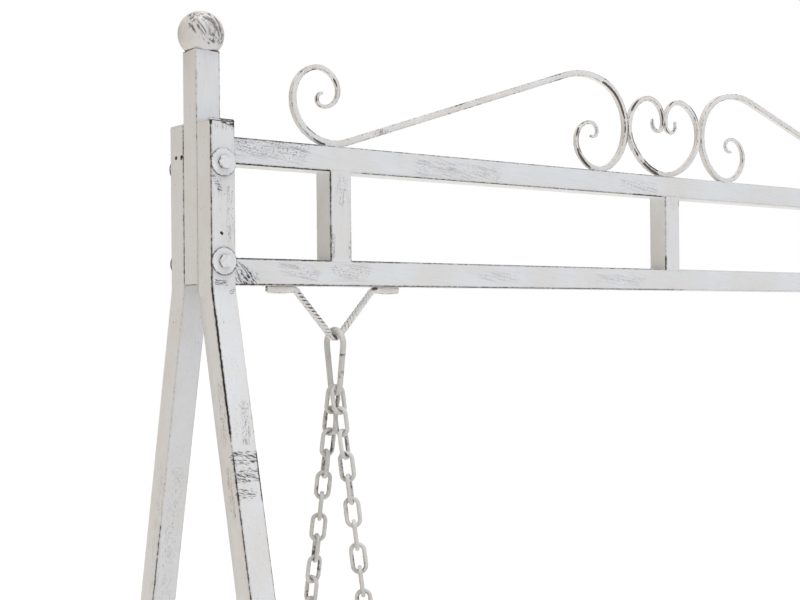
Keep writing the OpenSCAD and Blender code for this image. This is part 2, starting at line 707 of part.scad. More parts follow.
module seat_side_rail(side) {
    color(white) translate([side * hang_x, 0, seat_z - seat_tube / 2])
        tube_y(seat_tube, seat_wall, seat_front, seat_depth);
}
module seat_cross_rail(y) {
    color(white) translate([0, y, seat_z - seat_tube / 2])
        tube_x(seat_tube, seat_wall, -seat_in_x, 2 * seat_in_x);
}
module seat_ribs() {
    edge = seat_in_x - rib_tube / 2;
    color(white) for (x = [-edge, -edge / 3, edge / 3, edge])
        translate([x, 0, rib_top - rib_tube / 2])
            tube_y(rib_tube, seat_wall, seat_front + seat_tube, slat_room);
}
module seat_slats() {
    first = seat_front + seat_tube + slat_pitch - slat_w;
    color(white) for (i = [0:slat_n - 1])
        translate([1 - seat_in_x, first + i * slat_pitch, rib_top]) cube([2 * seat_in_x - 2, slat_w, slat_t]);
}
module arm(side) {
    color(white) translate([side * hang_x, 0, 0]) difference() {
        translate([0, 0, arm_z - seat_tube / 2])
            tube_y(seat_tube, seat_wall, -lug_y - arm_reach, post_y + lug_y + arm_reach + arm_h * tan(back_rake));
        in_back() translate([-seat_tube, -seat_tube / 2, 0]) cube([2 * seat_tube, 2 * seat_tube, 2 * arm_h]);
    }
}
module arm_post(side) {
    color(white) translate([side * hang_x, -lug_y, seat_z])
        tube_z(seat_tube, seat_wall, arm_h - seat_tube);
}
curl_plate = 3;
module arm_curls() {
    segs = turned(arm_curl_arcs, 1);
    p = path(segs, 180);
    rings = [for (q = p) ring(q, drawn(scroll_bar, scroll_draw, run_of(p) - q[3]))];
    fore = -lug_y - arm_reach;
    color(white) for (side = [-1, 1]) translate([side * hang_x, 0, 0]) {
        translate([-seat_tube / 2, fore - curl_plate, arm_z - seat_tube]) cube([seat_tube, curl_plate, seat_tube]);
        translate([0, fore - curl_plate, arm_z - scroll_bar]) rotate([0, 0, 90]) skin(rings);
    }
}
module side_scroll(side) {
    fore = -lug_y + seat_tube / 2;
    aft = post_y - half_cut;
    color(white) translate([side * hang_x, (fore + aft) / 2, seat_z]) rotate([0, 0, 90])
        upright_s(arm_h - seat_tube);
}
module seat_tube_caps() {
    color(white) for (side = [-1, 1]) {
        translate([side * hang_x, 0, seat_z - seat_tube / 2]) {
            translate([0, seat_back, 0]) rotate([-90, 0, 0]) tube_cap(seat_tube, seat_wall);
            translate([0, seat_front, 0]) rotate([90, 0, 0]) tube_cap(seat_tube, seat_wall);
        }
        in_back() translate([side * hang_x, 0, back_len]) tube_cap(seat_tube, seat_wall);
    }
}

// ---- back ----

// Children drawn upright, z up from the seat, leaned back about the posts' feet
module in_back() {
    translate([0, post_y, seat_z]) rotate([-back_rake, 0, 0]) children();
}
module back_post(side) {
    color(white) translate([side * hang_x, 0, 0]) difference() {
        translate([0, post_y, seat_z]) rotate([-back_rake, 0, 0]) translate([0, 0, -seat_tube])
            tube_z(seat_tube, seat_wall, back_len + seat_tube);
        translate([-seat_tube, post_y - 3 * seat_tube, seat_z - 2 * seat_tube])
            cube([2 * seat_tube, 6 * seat_tube, 2 * seat_tube]);
    }
}
module back_rail(height) {
    color(white) in_back() translate([0, 0, height])
        tube_x(seat_tube, seat_wall, -seat_in_x, 2 * seat_in_x);
}
module back_bars() {
    pitch = 2 * seat_in_x / (back_bar_n + 1);
    color(white) in_back() for (i = [1:back_bar_n])
        translate([i * pitch - seat_in_x - back_bar / 2, -back_bar / 2, back_low + seat_tube / 2])
            cube([back_bar, back_bar, bars_h]);
}
module back_heart(side) {
    color(white) in_back() mirrored(-side) translate([0, 0, back_mid + seat_tube / 2]) heart_right();
}
module back_scroll(side) {
    color(white) in_back() mirrored(side) translate([0, 0, back_mid + seat_tube / 2]) long_left(back_run);
}

// ---- nodes ----

beam_rail(beam_z + beam_h - tube / 2);  // beam_top_rail
beam_rail(beam_z + tube / 2);  // beam_bottom_rail
beam_posts();
end_post(-1);  // end_post_left
end_post(1);  // end_post_right
ball_finial(-1);  // ball_finial_left
ball_finial(1);  // ball_finial_right
beam_scroll(-1);  // beam_scroll_left
beam_scroll(1);  // beam_scroll_right
beam_heart(-1);  // beam_heart_left
beam_heart(1);  // beam_heart_right
hanger(-1);  // hanger_left
hanger(1);  // hanger_right
leg(-1, -1);  // leg_front_left
leg(1, -1);  // leg_front_right
leg(-1, 1);  // leg_rear_left
leg(1, 1);  // leg_rear_right
leg_top_caps();
foot_cups();
spreader(-1);  // spreader_left
spreader(1);  // spreader_right
spreader_caps();
beam_bolts();
spreader_bolts();
bolt_washers();
bolt_nuts();
carabiner(-1);  // carabiner_left
carabiner(1);  // carabiner_right
gate_pins();
chain(-1, -1);  // chain_front_left
chain(1, -1);  // chain_front_right
chain(-1, 1);  // chain_rear_left
chain(1, 1);  // chain_rear_right
chain_lugs();
seat_cross_rail(seat_front + seat_tube / 2);  // seat_front_rail
seat_cross_rail(seat_back - seat_tube / 2);  // seat_rear_rail
seat_side_rail(-1);  // seat_side_rail_left
seat_side_rail(1);  // seat_side_rail_right
seat_ribs();
seat_slats();
seat_tube_caps();
back_post(-1);  // back_post_left
back_post(1);  // back_post_right
back_rail(back_top);  // back_top_rail
back_rail(back_mid);  // back_middle_rail
back_rail(back_low);  // back_bottom_rail
back_bars();
back_heart(-1);  // back_heart_left
back_heart(1);  // back_heart_right
back_scroll(-1);  // back_scroll_left
back_scroll(1);  // back_scroll_right
arm(-1);  // arm_left
arm(1);  // arm_right
arm_post(-1);  // arm_post_left
arm_post(1);  // arm_post_right
arm_curls();
side_scroll(-1);  // side_scroll_left
side_scroll(1);  // side_scroll_right
gate(-1);  // gate_left
gate(1);  // gate_right
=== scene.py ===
import math

import bmesh
import bpy
from mathutils import Euler, Matrix, Vector


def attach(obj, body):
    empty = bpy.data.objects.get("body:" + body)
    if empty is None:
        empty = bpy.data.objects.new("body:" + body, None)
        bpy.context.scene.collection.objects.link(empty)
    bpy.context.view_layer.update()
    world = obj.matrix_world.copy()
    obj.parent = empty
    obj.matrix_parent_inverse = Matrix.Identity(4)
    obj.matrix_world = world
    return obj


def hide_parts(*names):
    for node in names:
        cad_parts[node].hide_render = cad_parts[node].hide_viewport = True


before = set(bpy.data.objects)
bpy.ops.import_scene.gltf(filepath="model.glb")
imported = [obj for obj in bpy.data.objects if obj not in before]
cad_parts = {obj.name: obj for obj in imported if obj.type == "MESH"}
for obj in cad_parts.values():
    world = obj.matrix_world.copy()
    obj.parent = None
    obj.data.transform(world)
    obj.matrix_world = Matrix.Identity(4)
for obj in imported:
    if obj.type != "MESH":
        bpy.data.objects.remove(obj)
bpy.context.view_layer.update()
scene = bpy.context.scene

# ---- camera ----

view = {
    "place": (-1.4365, -1.2438, 1.5634),
    "heading": 37.62,  # degrees to the right of straight ahead
    "roll": 0.5,
    "lens": 58.79,
    "shift": (0.0002, 0.0277),
}
eye = bpy.data.objects.new("camera", bpy.data.cameras.new("camera"))
eye.location = view["place"]
eye.rotation_euler = [math.radians(a) for a in (90, view["roll"], -view["heading"])]
eye.data.lens = view["lens"]
eye.data.shift_x, eye.data.shift_y = view["shift"]
scene.collection.objects.link(eye)
scene.camera = eye
print("camera stands")

# ---- how pieces are drawn: in millimetres, then placed in metres ----


def activate(piece):
    bpy.ops.object.select_all(action="DESELECT")
    piece.select_set(True)
    bpy.context.view_layer.objects.active = piece


def settle(piece):
    # takes the piece's place, turn and scale into its mesh
    activate(piece)
    bpy.ops.object.transform_apply(location=True, rotation=True, scale=True)
    return piece


def add(shape, **settings):
    shape(**settings)
    return bpy.context.object


def block(size, at, turn=(0, 0, 0)):
    return add(bpy.ops.mesh.primitive_cube_add, size=1, scale=size, location=at, rotation=turn)


def rod(radius, length, at=(0, 0, 0), turn=(0, 0, 0), vertices=48):
    return add(bpy.ops.mesh.primitive_cylinder_add, vertices=vertices, radius=radius, depth=length,
               location=at, rotation=turn)


def discard(*pieces):
    for piece in pieces:
        bpy.data.objects.remove(piece)


def editedMesh():
    return bmesh.from_edit_mesh(bpy.context.edit_object.data)


def pick(kind, test):
    bpy.context.tool_settings.mesh_select_mode = [kind == k for k in ("verts", "edges", "faces")]
    bpy.ops.mesh.select_all(action="DESELECT")
    for part in getattr(editedMesh(), kind):
        if test(part):
            part.select_set(True)
    bmesh.update_edit_mesh(bpy.context.edit_object.data)


def startEdit(name):
    bpy.context.object.name = name
    bpy.context.object.data.name = name
    bpy.ops.object.mode_set(mode="EDIT")
    bpy.ops.mesh.select_all(action="SELECT")


def endEdit():
    bpy.ops.mesh.select_all(action="SELECT")
    bpy.ops.mesh.normals_make_consistent(inside=False)
    bpy.ops.object.mode_set(mode="OBJECT")
    return bpy.context.object


def finishWith(piece, kind, **settings):
    modifier = piece.modifiers.new(kind.lower(), kind)
    for key, value in settings.items():
        setattr(modifier, key, value)
    activate(piece)
    bpy.ops.object.modifier_apply(modifier=modifier.name)


def soften(piece, width, segments, angle=math.radians(30)):
    finishWith(piece, "BEVEL", width=width, segments=segments, limit_method="ANGLE",
               angle_limit=angle)


def carve(piece, operation, tool):
    finishWith(piece, "BOOLEAN", operation=operation, solver="EXACT", object=tool)
    discard(tool)


def smooth(piece, angle=40):
    activate(piece)
    bpy.ops.object.shade_smooth_by_angle(angle=math.radians(angle))
    finishWith(piece, "WEIGHTED_NORMAL", keep_sharp=True, weight=60)


unworn = 50.0  # further from an arris than wear ever reaches


def noteTrace(piece, rule):
    # millimetres from the nearest arris or rub, from the start and from the end of a piece
    # on hex heads, washers and chain links, part of the dark it marks out is painted shade
    mesh = piece.data
    trace = mesh.attributes.get("trace") or mesh.attributes.new("trace", "FLOAT_VECTOR", "POINT")
    values = [rule(v.co) for v in mesh.vertices]
    trace.data.foreach_set("vector", [n for value in values for n in value])


def drawBar(name, stations, corner=0.0, sides=4, closed=False):
    # stations: x, z, heading, size, and maybe a twist and a share of rounding
    x, z, heading, size = stations[0][:4]
    corner *= size / max(station[3] for station in stations)
    radius = size / math.sqrt(2) if sides == 4 else size / 2
    settle(add(bpy.ops.mesh.primitive_circle_add, vertices=sides, radius=radius, fill_type="NGON",
               rotation=(0, 0, math.pi / sides)))
    startEdit(name)
    if sides == 4:
        bpy.ops.mesh.bevel(offset=corner, segments=2, affect="VERTICES")
        pick("edges", lambda e: e.calc_length() > size * 0.4)
        bpy.ops.mesh.subdivide(number_cuts=1)
    bpy.context.tool_settings.mesh_select_mode = (True, False, True)
    bpy.ops.mesh.select_all(action="SELECT")
    shape = editedMesh()
    layer = shape.verts.layers.float_vector.new("trace")
    run = sum(math.dist(a[:2], b[:2]) for a, b in zip(stations, stations[1:]))
    for v in shape.verts:  # a rounded corner's middle counts as the arris
        v[layer] = (size - abs(v.co.x) - abs(v.co.y) - corner * (2 - math.sqrt(2)), 0, run)
    bmesh.update_edit_mesh(bpy.context.edit_object.data)
    at = Vector((x, 0, z))
    gone = 0
    bpy.ops.transform.translate(value=at)
    bpy.ops.transform.rotate(value=math.radians(heading - 90), orient_axis="Y", center_override=at)
    for station in stations[1:]:
        x, z, wanted, grown = station[:4]
        twist, roundness = (*station[4:], 0, 0)[:2]
        step = Vector((x, 0, z)) - at
        at += step
        gone += step.length
        bpy.ops.mesh.extrude_region_move(TRANSFORM_OT_translate={"value": step})
        if wanted != heading:
            bpy.ops.transform.rotate(
                value=math.radians(wanted - heading), orient_axis="Y", center_override=at)
        if twist:
            bpy.ops.transform.rotate(value=math.radians(twist), orient_axis="Z", center_override=at)
        if grown != size:
            bpy.ops.transform.resize(value=[grown / size] * 3, center_override=at)
        shape = editedMesh()
        layer = shape.verts.layers.float_vector["trace"]
        for v in shape.verts:
            if v.select:
                v[layer] = (v[layer].x * grown / size, gone, run - gone)
                if roundness:
                    out = v.co - at
                    v.co = at + out.lerp(out.normalized() * grown / 2, roundness)
        bmesh.update_edit_mesh(bpy.context.edit_object.data)
        heading, size = wanted, grown
    if closed:
        pick("faces", lambda f: len(f.verts) > 4)
        bpy.ops.mesh.delete(type="ONLY_FACE")
        bpy.ops.mesh.select_all(action="SELECT")
        bpy.ops.mesh.remove_doubles(threshold=0.01)
    return endEdit()


def pose(at, turn):
    turned = Euler([math.radians(a) for a in turn]).to_matrix().to_4x4()
    return Matrix.Translation(Vector(at)) @ turned


def place(piece, at=(0, 0, 0), turn=(0, 0, 0), within=Matrix.Identity(4)):
    piece.matrix_world = Matrix.Scale(0.001, 4) @ within @ pose(at, turn)
    return settle(piece)


def copyOf(piece, name):
    twin = piece.copy()
    twin.data = piece.data.copy()
    twin.name = twin.data.name = name
    scene.collection.objects.link(twin)
    return twin


def put(model, name, *where):
    return place(copyOf(model, name), *where)


def mirrored(piece, name):
    twin = copyOf(piece, name)
    twin.scale.x = -1
    settle(twin)
    bpy.ops.object.mode_set(mode="EDIT")
    return endEdit()


def joined(pieces, name):
    activate(pieces[0])
    for piece in pieces:
        piece.select_set(True)
    bpy.ops.object.join()
    pieces[0].name = pieces[0].data.name = name
    return pieces[0]


def dress(piece, material, body, *nodes, slot="white_iron"):
    piece.data.materials.clear()
    piece.data.materials.append(material)
    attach(piece, body)
    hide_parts(*nodes)


# ---- paths of bent bars: arcs of [radius, turn] and straights of [0, length] ----


def pathOf(segments, heading, stepAngle=7.5):
    x = z = 0.0
    points = [(x, z, heading)]
    for radius, turn in segments:
        if radius == 0:
            x += turn * math.cos(math.radians(heading))
            z += turn * math.sin(math.radians(heading))
            points.append((x, z, heading))
            continue
        parts = math.ceil(abs(turn) / stepAngle)
        side = math.copysign(radius, turn)
        for _ in range(parts):
            a = math.radians(heading)
            b = math.radians(heading + turn / parts)
            x += side * (math.sin(b) - math.sin(a))
            z += side * (math.cos(a) - math.cos(b))
            heading += turn / parts
            points.append((x, z, heading))
    return points


def lengthsOf(points):
    runs = [0.0]
    for a, b in zip(points, points[1:]):
        runs.append(runs[-1] + math.dist(a[:2], b[:2]))
    return runs


def drawnDown(points, bar, tip, reach, bothEnds=False):
    # the bar is hammered thinner towards its tips
    runs = lengthsOf(points)
    stations = []
    for (x, z, heading), run in zip(points, runs):
        left = runs[-1] - run
        if bothEnds:
            left = min(left, run)
        size = bar - (bar - tip) * max(0, 1 - left / reach) ** 1.5
        stations.append((x, z, heading, size))
    return stations


def lowest(stations):
    return min(z - size / 2 * abs(math.cos(math.radians(h))) for _, z, h, size in stations)


def furthestRight(stations):
    return max(x + size / 2 * abs(math.sin(math.radians(h))) for x, _, h, size in stations)


def shifted(stations, dx, dz):
    return [(x + dx, z + dz, *rest) for x, z, *rest in stations]


def blunt(stations, bothEnds=False):
    # a hammered tip closes in a short dome
    def domed(x, z, heading, size, way):
        a = math.radians(heading)
        return [
            (x + way * size * d * math.cos(a), z + way * size * d * math.sin(a), heading, size * s)
            for d, s in ((0.10, 0.93), (0.18, 0.78), (0.22, 0.5))]
    done = list(stations) + domed(*stations[-1], 1)
    if bothEnds:
        done = domed(*stations[0], -1)[::-1] + done
    return done


print("tools are ready")

# ---- materials ----


def colour(code):
    # sRGB hex to the linear values that shaders take
    parts = [int(code[k:k + 2], 16) / 255 for k in (1, 3, 5)]
    return [c / 12.92 if c <= 0.04045 else ((c + 0.055) / 1.055) ** 2.4 for c in parts] + [1]


class Graph:
    # the node tree of a material or a world, with a call for each kind of node
    def __init__(self, owner):
        owner.use_nodes = True
        self.tree = owner.node_tree
        self.tree.nodes.clear()

    def add(self, kind, links, **settings):
        made = self.tree.nodes.new("ShaderNode" + kind)
        for key, value in settings.items():
            setattr(made, key, value)
        for key, value in links.items():
            if isinstance(value, bpy.types.NodeSocket):
                self.tree.links.new(value, made.inputs[key])
            else:
                made.inputs[key].default_value = value
        return made.outputs

    def spot(self):
        return self.add("TexCoord", {})["Object"]

    def math(self, operation, *values, clamp=False):
        return self.add("Math", dict(enumerate(values)), operation=operation, use_clamp=clamp)[0]

    def vectorMath(self, operation, one, other, result="Vector"):
        second = "Scale" if operation == "SCALE" else 1
        return self.add("VectorMath", {0: one, second: other}, operation=operation)[result]

    def ramp(self, value, low, high, first, last, shape="LINEAR"):
        ends = {0: value, 1: low, 2: high, 3: first, 4: last}
        return self.add("MapRange", ends, interpolation_type=shape)[0]

    def noise(self, spot, size, detail, roughness=0.5):
        return self.add("TexNoise", {"Vector": spot, "Scale": 1 / size, "Detail": detail,
                                     "Roughness": roughness})["Fac"]

    def brushed(self, spot, turn, stretch):
        links = {0: spot, "Rotation": [math.radians(a) for a in turn], "Scale": stretch}
        return self.add("Mapping", links, vector_type="TEXTURE")[0]

    def mix(self, share, one, other):
        return self.add("Mix", {0: share, 6: one, 7: other}, data_type="RGBA")[2]

    def surface(self, inputs, height, strength, distance):
        bump = self.add("Bump", {"Strength": strength, "Distance": distance, "Height": height})[0]
        shader = self.add("BsdfPrincipled", dict(inputs, Normal=bump))[0]
        self.add("OutputMaterial", {0: shader})


def rubbed(graph, spot, strips):
    # how hard a place is rubbed, from strips given by two ends, their reach and their strength
    most = 0.0
    for start, end, reach, strength in strips:
        run = [b - a for a, b in zip(start, end)]
        share = 1 / max(sum(r * r for r in run), 0.01)
        off = graph.vectorMath("SUBTRACT", spot, start)
        along = graph.vectorMath("DOT_PRODUCT", off, [r * share for r in run], "Value")
        along = graph.math("ADD", along, 0.0, clamp=True)
        far = graph.vectorMath("DISTANCE", off, graph.vectorMath("SCALE", run, along), "Value")
        near = graph.ramp(far, reach * 0.35, reach, strength, 0.0, "SMOOTHSTEP")
        most = graph.math("MAXIMUM", near, most)
    return most


# sizes in millimetres: ragged edge of a chip, speck, bristle mark, cloud of warmer white, how
# thick the paint is and how high the brush leaves its ridges; ramps go from low to high, and
# then say what stands there
brush = {"ragged": 4.5, "speck": 1.15, "bristle": 1.8, "cloud": 60.0, "thick": 0.15, "ridge": 0.05,
         "raggedRamp": (0.3, 0.7, -1.1, 0.35), "chipRamp": (-0.1, 0.15, 0.0, 1.0),
         "speckRamp": (0.69, 0.77, 0.0, 0.6), "dragRamp": (0.66, 0.76, 0.0, 1.0),
         "tintRamp": (0.35, 0.65, 0.0, 1.0), "markRamp": (0.48, 0.68, 0.0, 1.0),
         "moreSpecks": 0.13, "moreDrags": 0.2, "moreMarks": 0.5, "bump": (0.55, 0.001),
         "markTint": "#8D8790", "haloTint": "#8F8780", "bareRough": 0.72}


def wornPaint(finish):
    # iron brushed with matt white paint and rubbed through: cool and warm whites side by side,
    # black-brown iron along the arrises, a thin brown halo round it, specks and brush strokes
    # the same dark iron also stands in for painted shade where a trace or strip marks a crease
    material = bpy.data.materials.new(finish["name"])
    graph = Graph(material)
    spot = graph.vectorMath("SCALE", graph.spot(), 1000.0)  # millimetres
    across, before, behind = graph.add(
        "SeparateXYZ", {0: graph.add("Attribute", {}, attribute_name="trace")["Vector"]})
    edge = graph.math("MINIMUM", across, graph.math("MINIMUM", before, behind))
    # where wear gathers: patches of a few centimetres, and strips that were rubbed
    field = graph.noise(spot, finish["patch"], 3.0, 0.6)
    worn = graph.ramp(field, *finish["worn"], finish["least"], 1.0, "SMOOTHSTEP")
    worn = graph.math("MAXIMUM", worn, rubbed(graph, spot, finish.get("rubs", ())))
    # chips: iron shows where the wear reaches further than the distance from the arris
    ragged = graph.noise(spot, brush["ragged"], 6.0, 0.68)
    share = graph.math("ADD", worn, graph.ramp(ragged, *brush["raggedRamp"]))
    bare = graph.math("SUBTRACT", graph.math("MULTIPLY", share, finish["width"]), edge)
    chip = graph.ramp(bare, *brush["chipRamp"])
    halo = graph.ramp(bare, -finish["halo"], 0.2, 0.0, 0.3, "SMOOTHSTEP")
    # specks a little longer than wide, and bristle marks as long as a hand's stroke
    short = graph.brushed(spot, finish["slant"], finish["specks"])
    grains = graph.noise(short, brush["speck"], 2.0)
    long = graph.brushed(spot, finish["slant"], finish["strokes"])
    bristle = graph.noise(long, brush["bristle"], 3.0, 0.6)
    scuffed = rubbed(graph, spot, finish.get("scuffs", ()))
    room = graph.ramp(field, 0.5, 0.68, 0.0, finish["speck"], "SMOOTHSTEP")
    room = graph.math("MAXIMUM", room, scuffed)
    grains = graph.math("MULTIPLY_ADD", room, brush["moreSpecks"], grains)
    speck = graph.ramp(grains, *brush["speckRamp"])
    through = graph.math("MAXIMUM", chip, speck)
    if finish.get("dragsAndShade"):
        # dark paint drawn across the piece with a dry brush, and on the hanger a strip of painted
        # shade
        crossed = graph.brushed(spot, finish["swipe"], finish["swipes"])
        draggedAndShaded = graph.noise(crossed, finish["dragSize"], 4.0, 0.6)
        dragAndShadeRoom = rubbed(graph, spot, finish["dragsAndShade"])
        draggedAndShaded = graph.math("MULTIPLY_ADD", dragAndShadeRoom, brush["moreDrags"], draggedAndShaded)
        dragAndShade = graph.ramp(draggedAndShaded, *brush["dragRamp"])
        dragAndShade = graph.math("MULTIPLY", dragAndShade, dragAndShadeRoom, clamp=True)
        through = graph.math("MAXIMUM", through, dragAndShade)
    # colours
    tint = graph.ramp(graph.noise(spot, brush["cloud"], 4.0, 0.6), *brush["tintRamp"])
    paint = graph.mix(tint, *map(colour, finish["whites"]))
    marks = graph.math("MULTIPLY_ADD", scuffed, brush["moreMarks"], finish["stroke"], clamp=True)
    marks = graph.math("MULTIPLY", graph.ramp(bristle, *brush["markRamp"]), marks)
    paint = graph.mix(marks, paint, colour(brush["markTint"]))
    paint = graph.mix(halo, paint, colour(brush["haloTint"]))
    iron = graph.mix(ragged, *map(colour, finish["iron"]))
    skin = graph.mix(graph.math("MULTIPLY", through, finish["depth"]), paint, iron)
    gloss = graph.ramp(through, 0.0, 1.0, finish["rough"], brush["bareRough"])
    ridges = graph.math("MULTIPLY", bristle, brush["ridge"])
    pits = graph.math("MULTIPLY_ADD", through, -brush["thick"], ridges)
    height = graph.math("MULTIPLY_ADD", ragged, brush["ridge"], pits)
    graph.surface({"Base Color": skin, "Roughness": gloss, "IOR": 1.47, "Specular IOR Level": 0.3},
                  height, *brush["bump"])
    return material


def mouldedPlastic(finish):
    # moulded polyethylene: slightly waxy, with a fine eroded grain; sizes in metres
    material = bpy.data.materials.new(finish["name"])
    graph = Graph(material)
    grain = graph.noise(graph.spot(), finish["grain"], 2.0)
    dust = graph.noise(graph.spot(), finish["dust"], 3.0)
    shade = graph.mix(dust, *map(colour, finish["shades"]))
    sheen = graph.ramp(dust, *finish["sheen"])
    graph.surface({"Base Color": shade, "Roughness": sheen, "IOR": 1.5}, grain, *finish["bump"])
    return material


whiteTube = {
    "name": "brushed white paint on square tube",
    "whites": ("#E5E6E7", "#E2E0DC"), "iron": ("#191617", "#3A3231"),
    "patch": 55.0, "worn": (0.52, 0.72), "least": 0.1, "width": 0.52,
    "speck": 0.3, "stroke": 0.07, "depth": 1.0, "halo": 1.3, "rough": 0.5,
    "slant": (0, 6, 0), "specks": (1, 1, 3), "strokes": (1, 1, 16),
    "swipe": (0, 14, 0), "swipes": (5, 5, 1), "dragSize": 1.25,
}
# strips: two ends in millimetres of the whole object, reach and strength
whiteFrontLeg = dict(
    whiteTube, name="brushed white paint on the front leg",
    rubs=(
        ((-757, -45, 1777), (-733, -45, 1777), 10, 2.0),    # from the top down
        ((-760, -45, 1772), (-760, -45, 1640), 6, 1.0),
        ((-760, -45, 1640), (-760, -46, 1600), 7, 1.35),
        ((-760, -46, 1600), (-760, -79, 1454), 7, 1.7),
        ((-760, -86, 1425), (-760, -95, 1385), 6, 1.2),
        ((-760, -96, 1380), (-760, -348, 300), 6, 1.0),
        ((-730, -86, 1428), (-730, -95, 1385), 6, 2.4),
        ((-730, -96, 1380), (-730, -160, 1105), 6, 1.1),
        ((-760, 18, 1777), (-760, 42, 1777), 6, 1.1),       # the rear leg's cap
    ),
    scuffs=(
        ((-750, -45, 1712), (-748, -45, 1700), 6, 0.9),
        ((-738, -45, 1705), (-736, -45, 1652), 7, 0.85),
        ((-739, -74, 1478), (-741, -82, 1442), 8, 0.95),
        ((-760, -60, 1500), (-760, -70, 1440), 9, 0.8),
        ((-760, -76, 1412), (-760, -86, 1370), 8, 0.95),
        ((-752, -45, 1772), (-733, -45, 1772), 7, 0.9),
    ),
    dragsAndShade=(
        ((-748, -45, 1659), (-747, -45, 1658), 2.5, 2.0),
        ((-745, -45, 1778), (-732, -45, 1775), 7, 1.1),
        ((-756, -45, 1717), (-749, -45, 1704), 4.5, 0.95),
        ((-754, -45, 1607), (-743, -45, 1606), 5, 0.9),
        ((-737, -45, 1596), (-734, -45, 1599), 4.5, 1.0),
        ((-755, -85, 1426), (-735, -85, 1426), 13, 0.9),
        ((-755, -90, 1408), (-735, -90, 1408), 13, 0.9),
        ((-756, -95, 1390), (-744, -95, 1390), 11, 0.85),
    ))
whitePost = dict(
    whiteTube, name="brushed white paint on the end posts",
    rubs=(
        ((-760, 14, 1856), (-760, 6, 1856), 5, 1.7),
        ((-739, -15, 1856), (-731, -15, 1856), 5, 1.7),
        ((-760, -15, 1830), (-760, -15, 1785), 6, 0.55),
        ((-730, -15, 1850), (-730, -15, 1785), 6, 0.8),
        ((-760, 15, 1775), (-760, 15, 1600), 6, 0.7),       # along the rear leg
        ((-760, 10, 1605), (-760, -10, 1605), 5, 1.1),
    ))
whiteRearLeg = dict(
    whiteTube, name="brushed white paint on the rear leg",
    rubs=(
        ((-760, 15, 1775), (-760, 15, 1610), 6, 0.65),
        ((-760, 76, 1335), (-760, 124, 1130), 6, 0.95),
    ),
    scuffs=(
        ((-745, 65, 1400), (-745, 110, 1180), 12, 0.45),
        ((-760, 70, 1400), (-760, 100, 1250), 10, 0.5),
    ),
    dragsAndShade=(
        ((-760, 31, 1744), (-760, 30, 1744), 3.2, 2.2),
        ((-760, 18, 1744), (-760, 19, 1743), 3.0, 2.2),
    ))
whiteUpright = dict(
    whiteTube, name="brushed white paint on the beam's uprights",
    rubs=(
        ((-588, -15, 1735), (-588, -15, 1705), 6, 1.3),     # over the hanger
        ((-588, -15, 1705), (-588, -15, 1672), 6, 0.8),
        ((-588, -15, 1672), (-588, -15, 1636), 7, 1.15),
        ((-558, -15, 1665), (-558, -15, 1638), 6, 1.15),
        ((-15, -15, 1650), (-15, -15, 1637), 6, 1.5),       # in the middle
        ((-15, -15, 1735), (-15, -15, 1650), 6, 0.5),
        ((15, -15, 1731), (15, -15, 1727), 5, 2.2),
    ),
    scuffs=(
        ((-573, -15, 1726), (-570, -15, 1705), 12, 0.8),
        ((-585, -15, 1662), (-586, -15, 1640), 5, 1.2),
        ((-560, -15, 1655), (-560, -15, 1638), 5, 1.1),
        ((0, -15, 1735), (0, -15, 1725), 10, 0.6),
    ))
whiteRail = dict(
    whiteTube, name="brushed white paint on level tube", dragSize=1.15,
    slant=(0, 8, 0), specks=(2.6, 1, 1), strokes=(16, 1, 1), swipe=(0, 52, 0), swipes=(5, 5, 1),
    rubs=(
        ((-715, -15, 1766), (-600, -15, 1766), 6, 1.3),     # upper rail
        ((-600, -15, 1766), (0, -15, 1766), 6, 0.85),
        ((-715, -15, 1736), (-590, -15, 1736), 6, 1.35),
        ((-540, -15, 1736), (-80, -15, 1736), 6, 0.95),
        ((-80, -15, 1736), (-25, -15, 1736), 6, 1.5),
        ((-715, -15, 1635), (-590, -15, 1635), 6, 1.45),    # lower rail
        ((-556, -15, 1635), (-490, -15, 1635), 6, 1.25),
        ((-490, -15, 1635), (0, -15, 1635), 6, 0.9),
        ((-715, -15, 1605), (-600, -15, 1605), 6, 1.35),
        ((-600, -15, 1605), (0, -15, 1605), 6, 1.15),
    ),
    scuffs=(
        ((-712, -15, 1760), (-630, -15, 1757), 20, 1.1),
        ((-455, -15, 1750), (-330, -15, 1749), 15, 0.75),
        ((-100, -15, 1752), (-40, -15, 1747), 12, 0.8),
        ((-650, -15, 1625), (-610, -15, 1617), 12, 0.7),
        ((-580, -15, 1622), (-540, -15, 1622), 14, 0.8),
        ((-360, -15, 1620), (-300, -15, 1620), 9, 0.6),
        ((-150, -15, 1620), (-60, -15, 1618), 10, 0.6),
    ),
    dragsAndShade=(
        ((-712, -15, 1620), (-694, -15, 1611), 17, 0.95),
    ))
whiteDeep = dict(whiteRail, name="brushed white paint on tube from front to back", slant=(0, 0, 14),
                 specks=(1, 3, 1), strokes=(1, 16, 1), rubs=(), scuffs=(), dragsAndShade=())
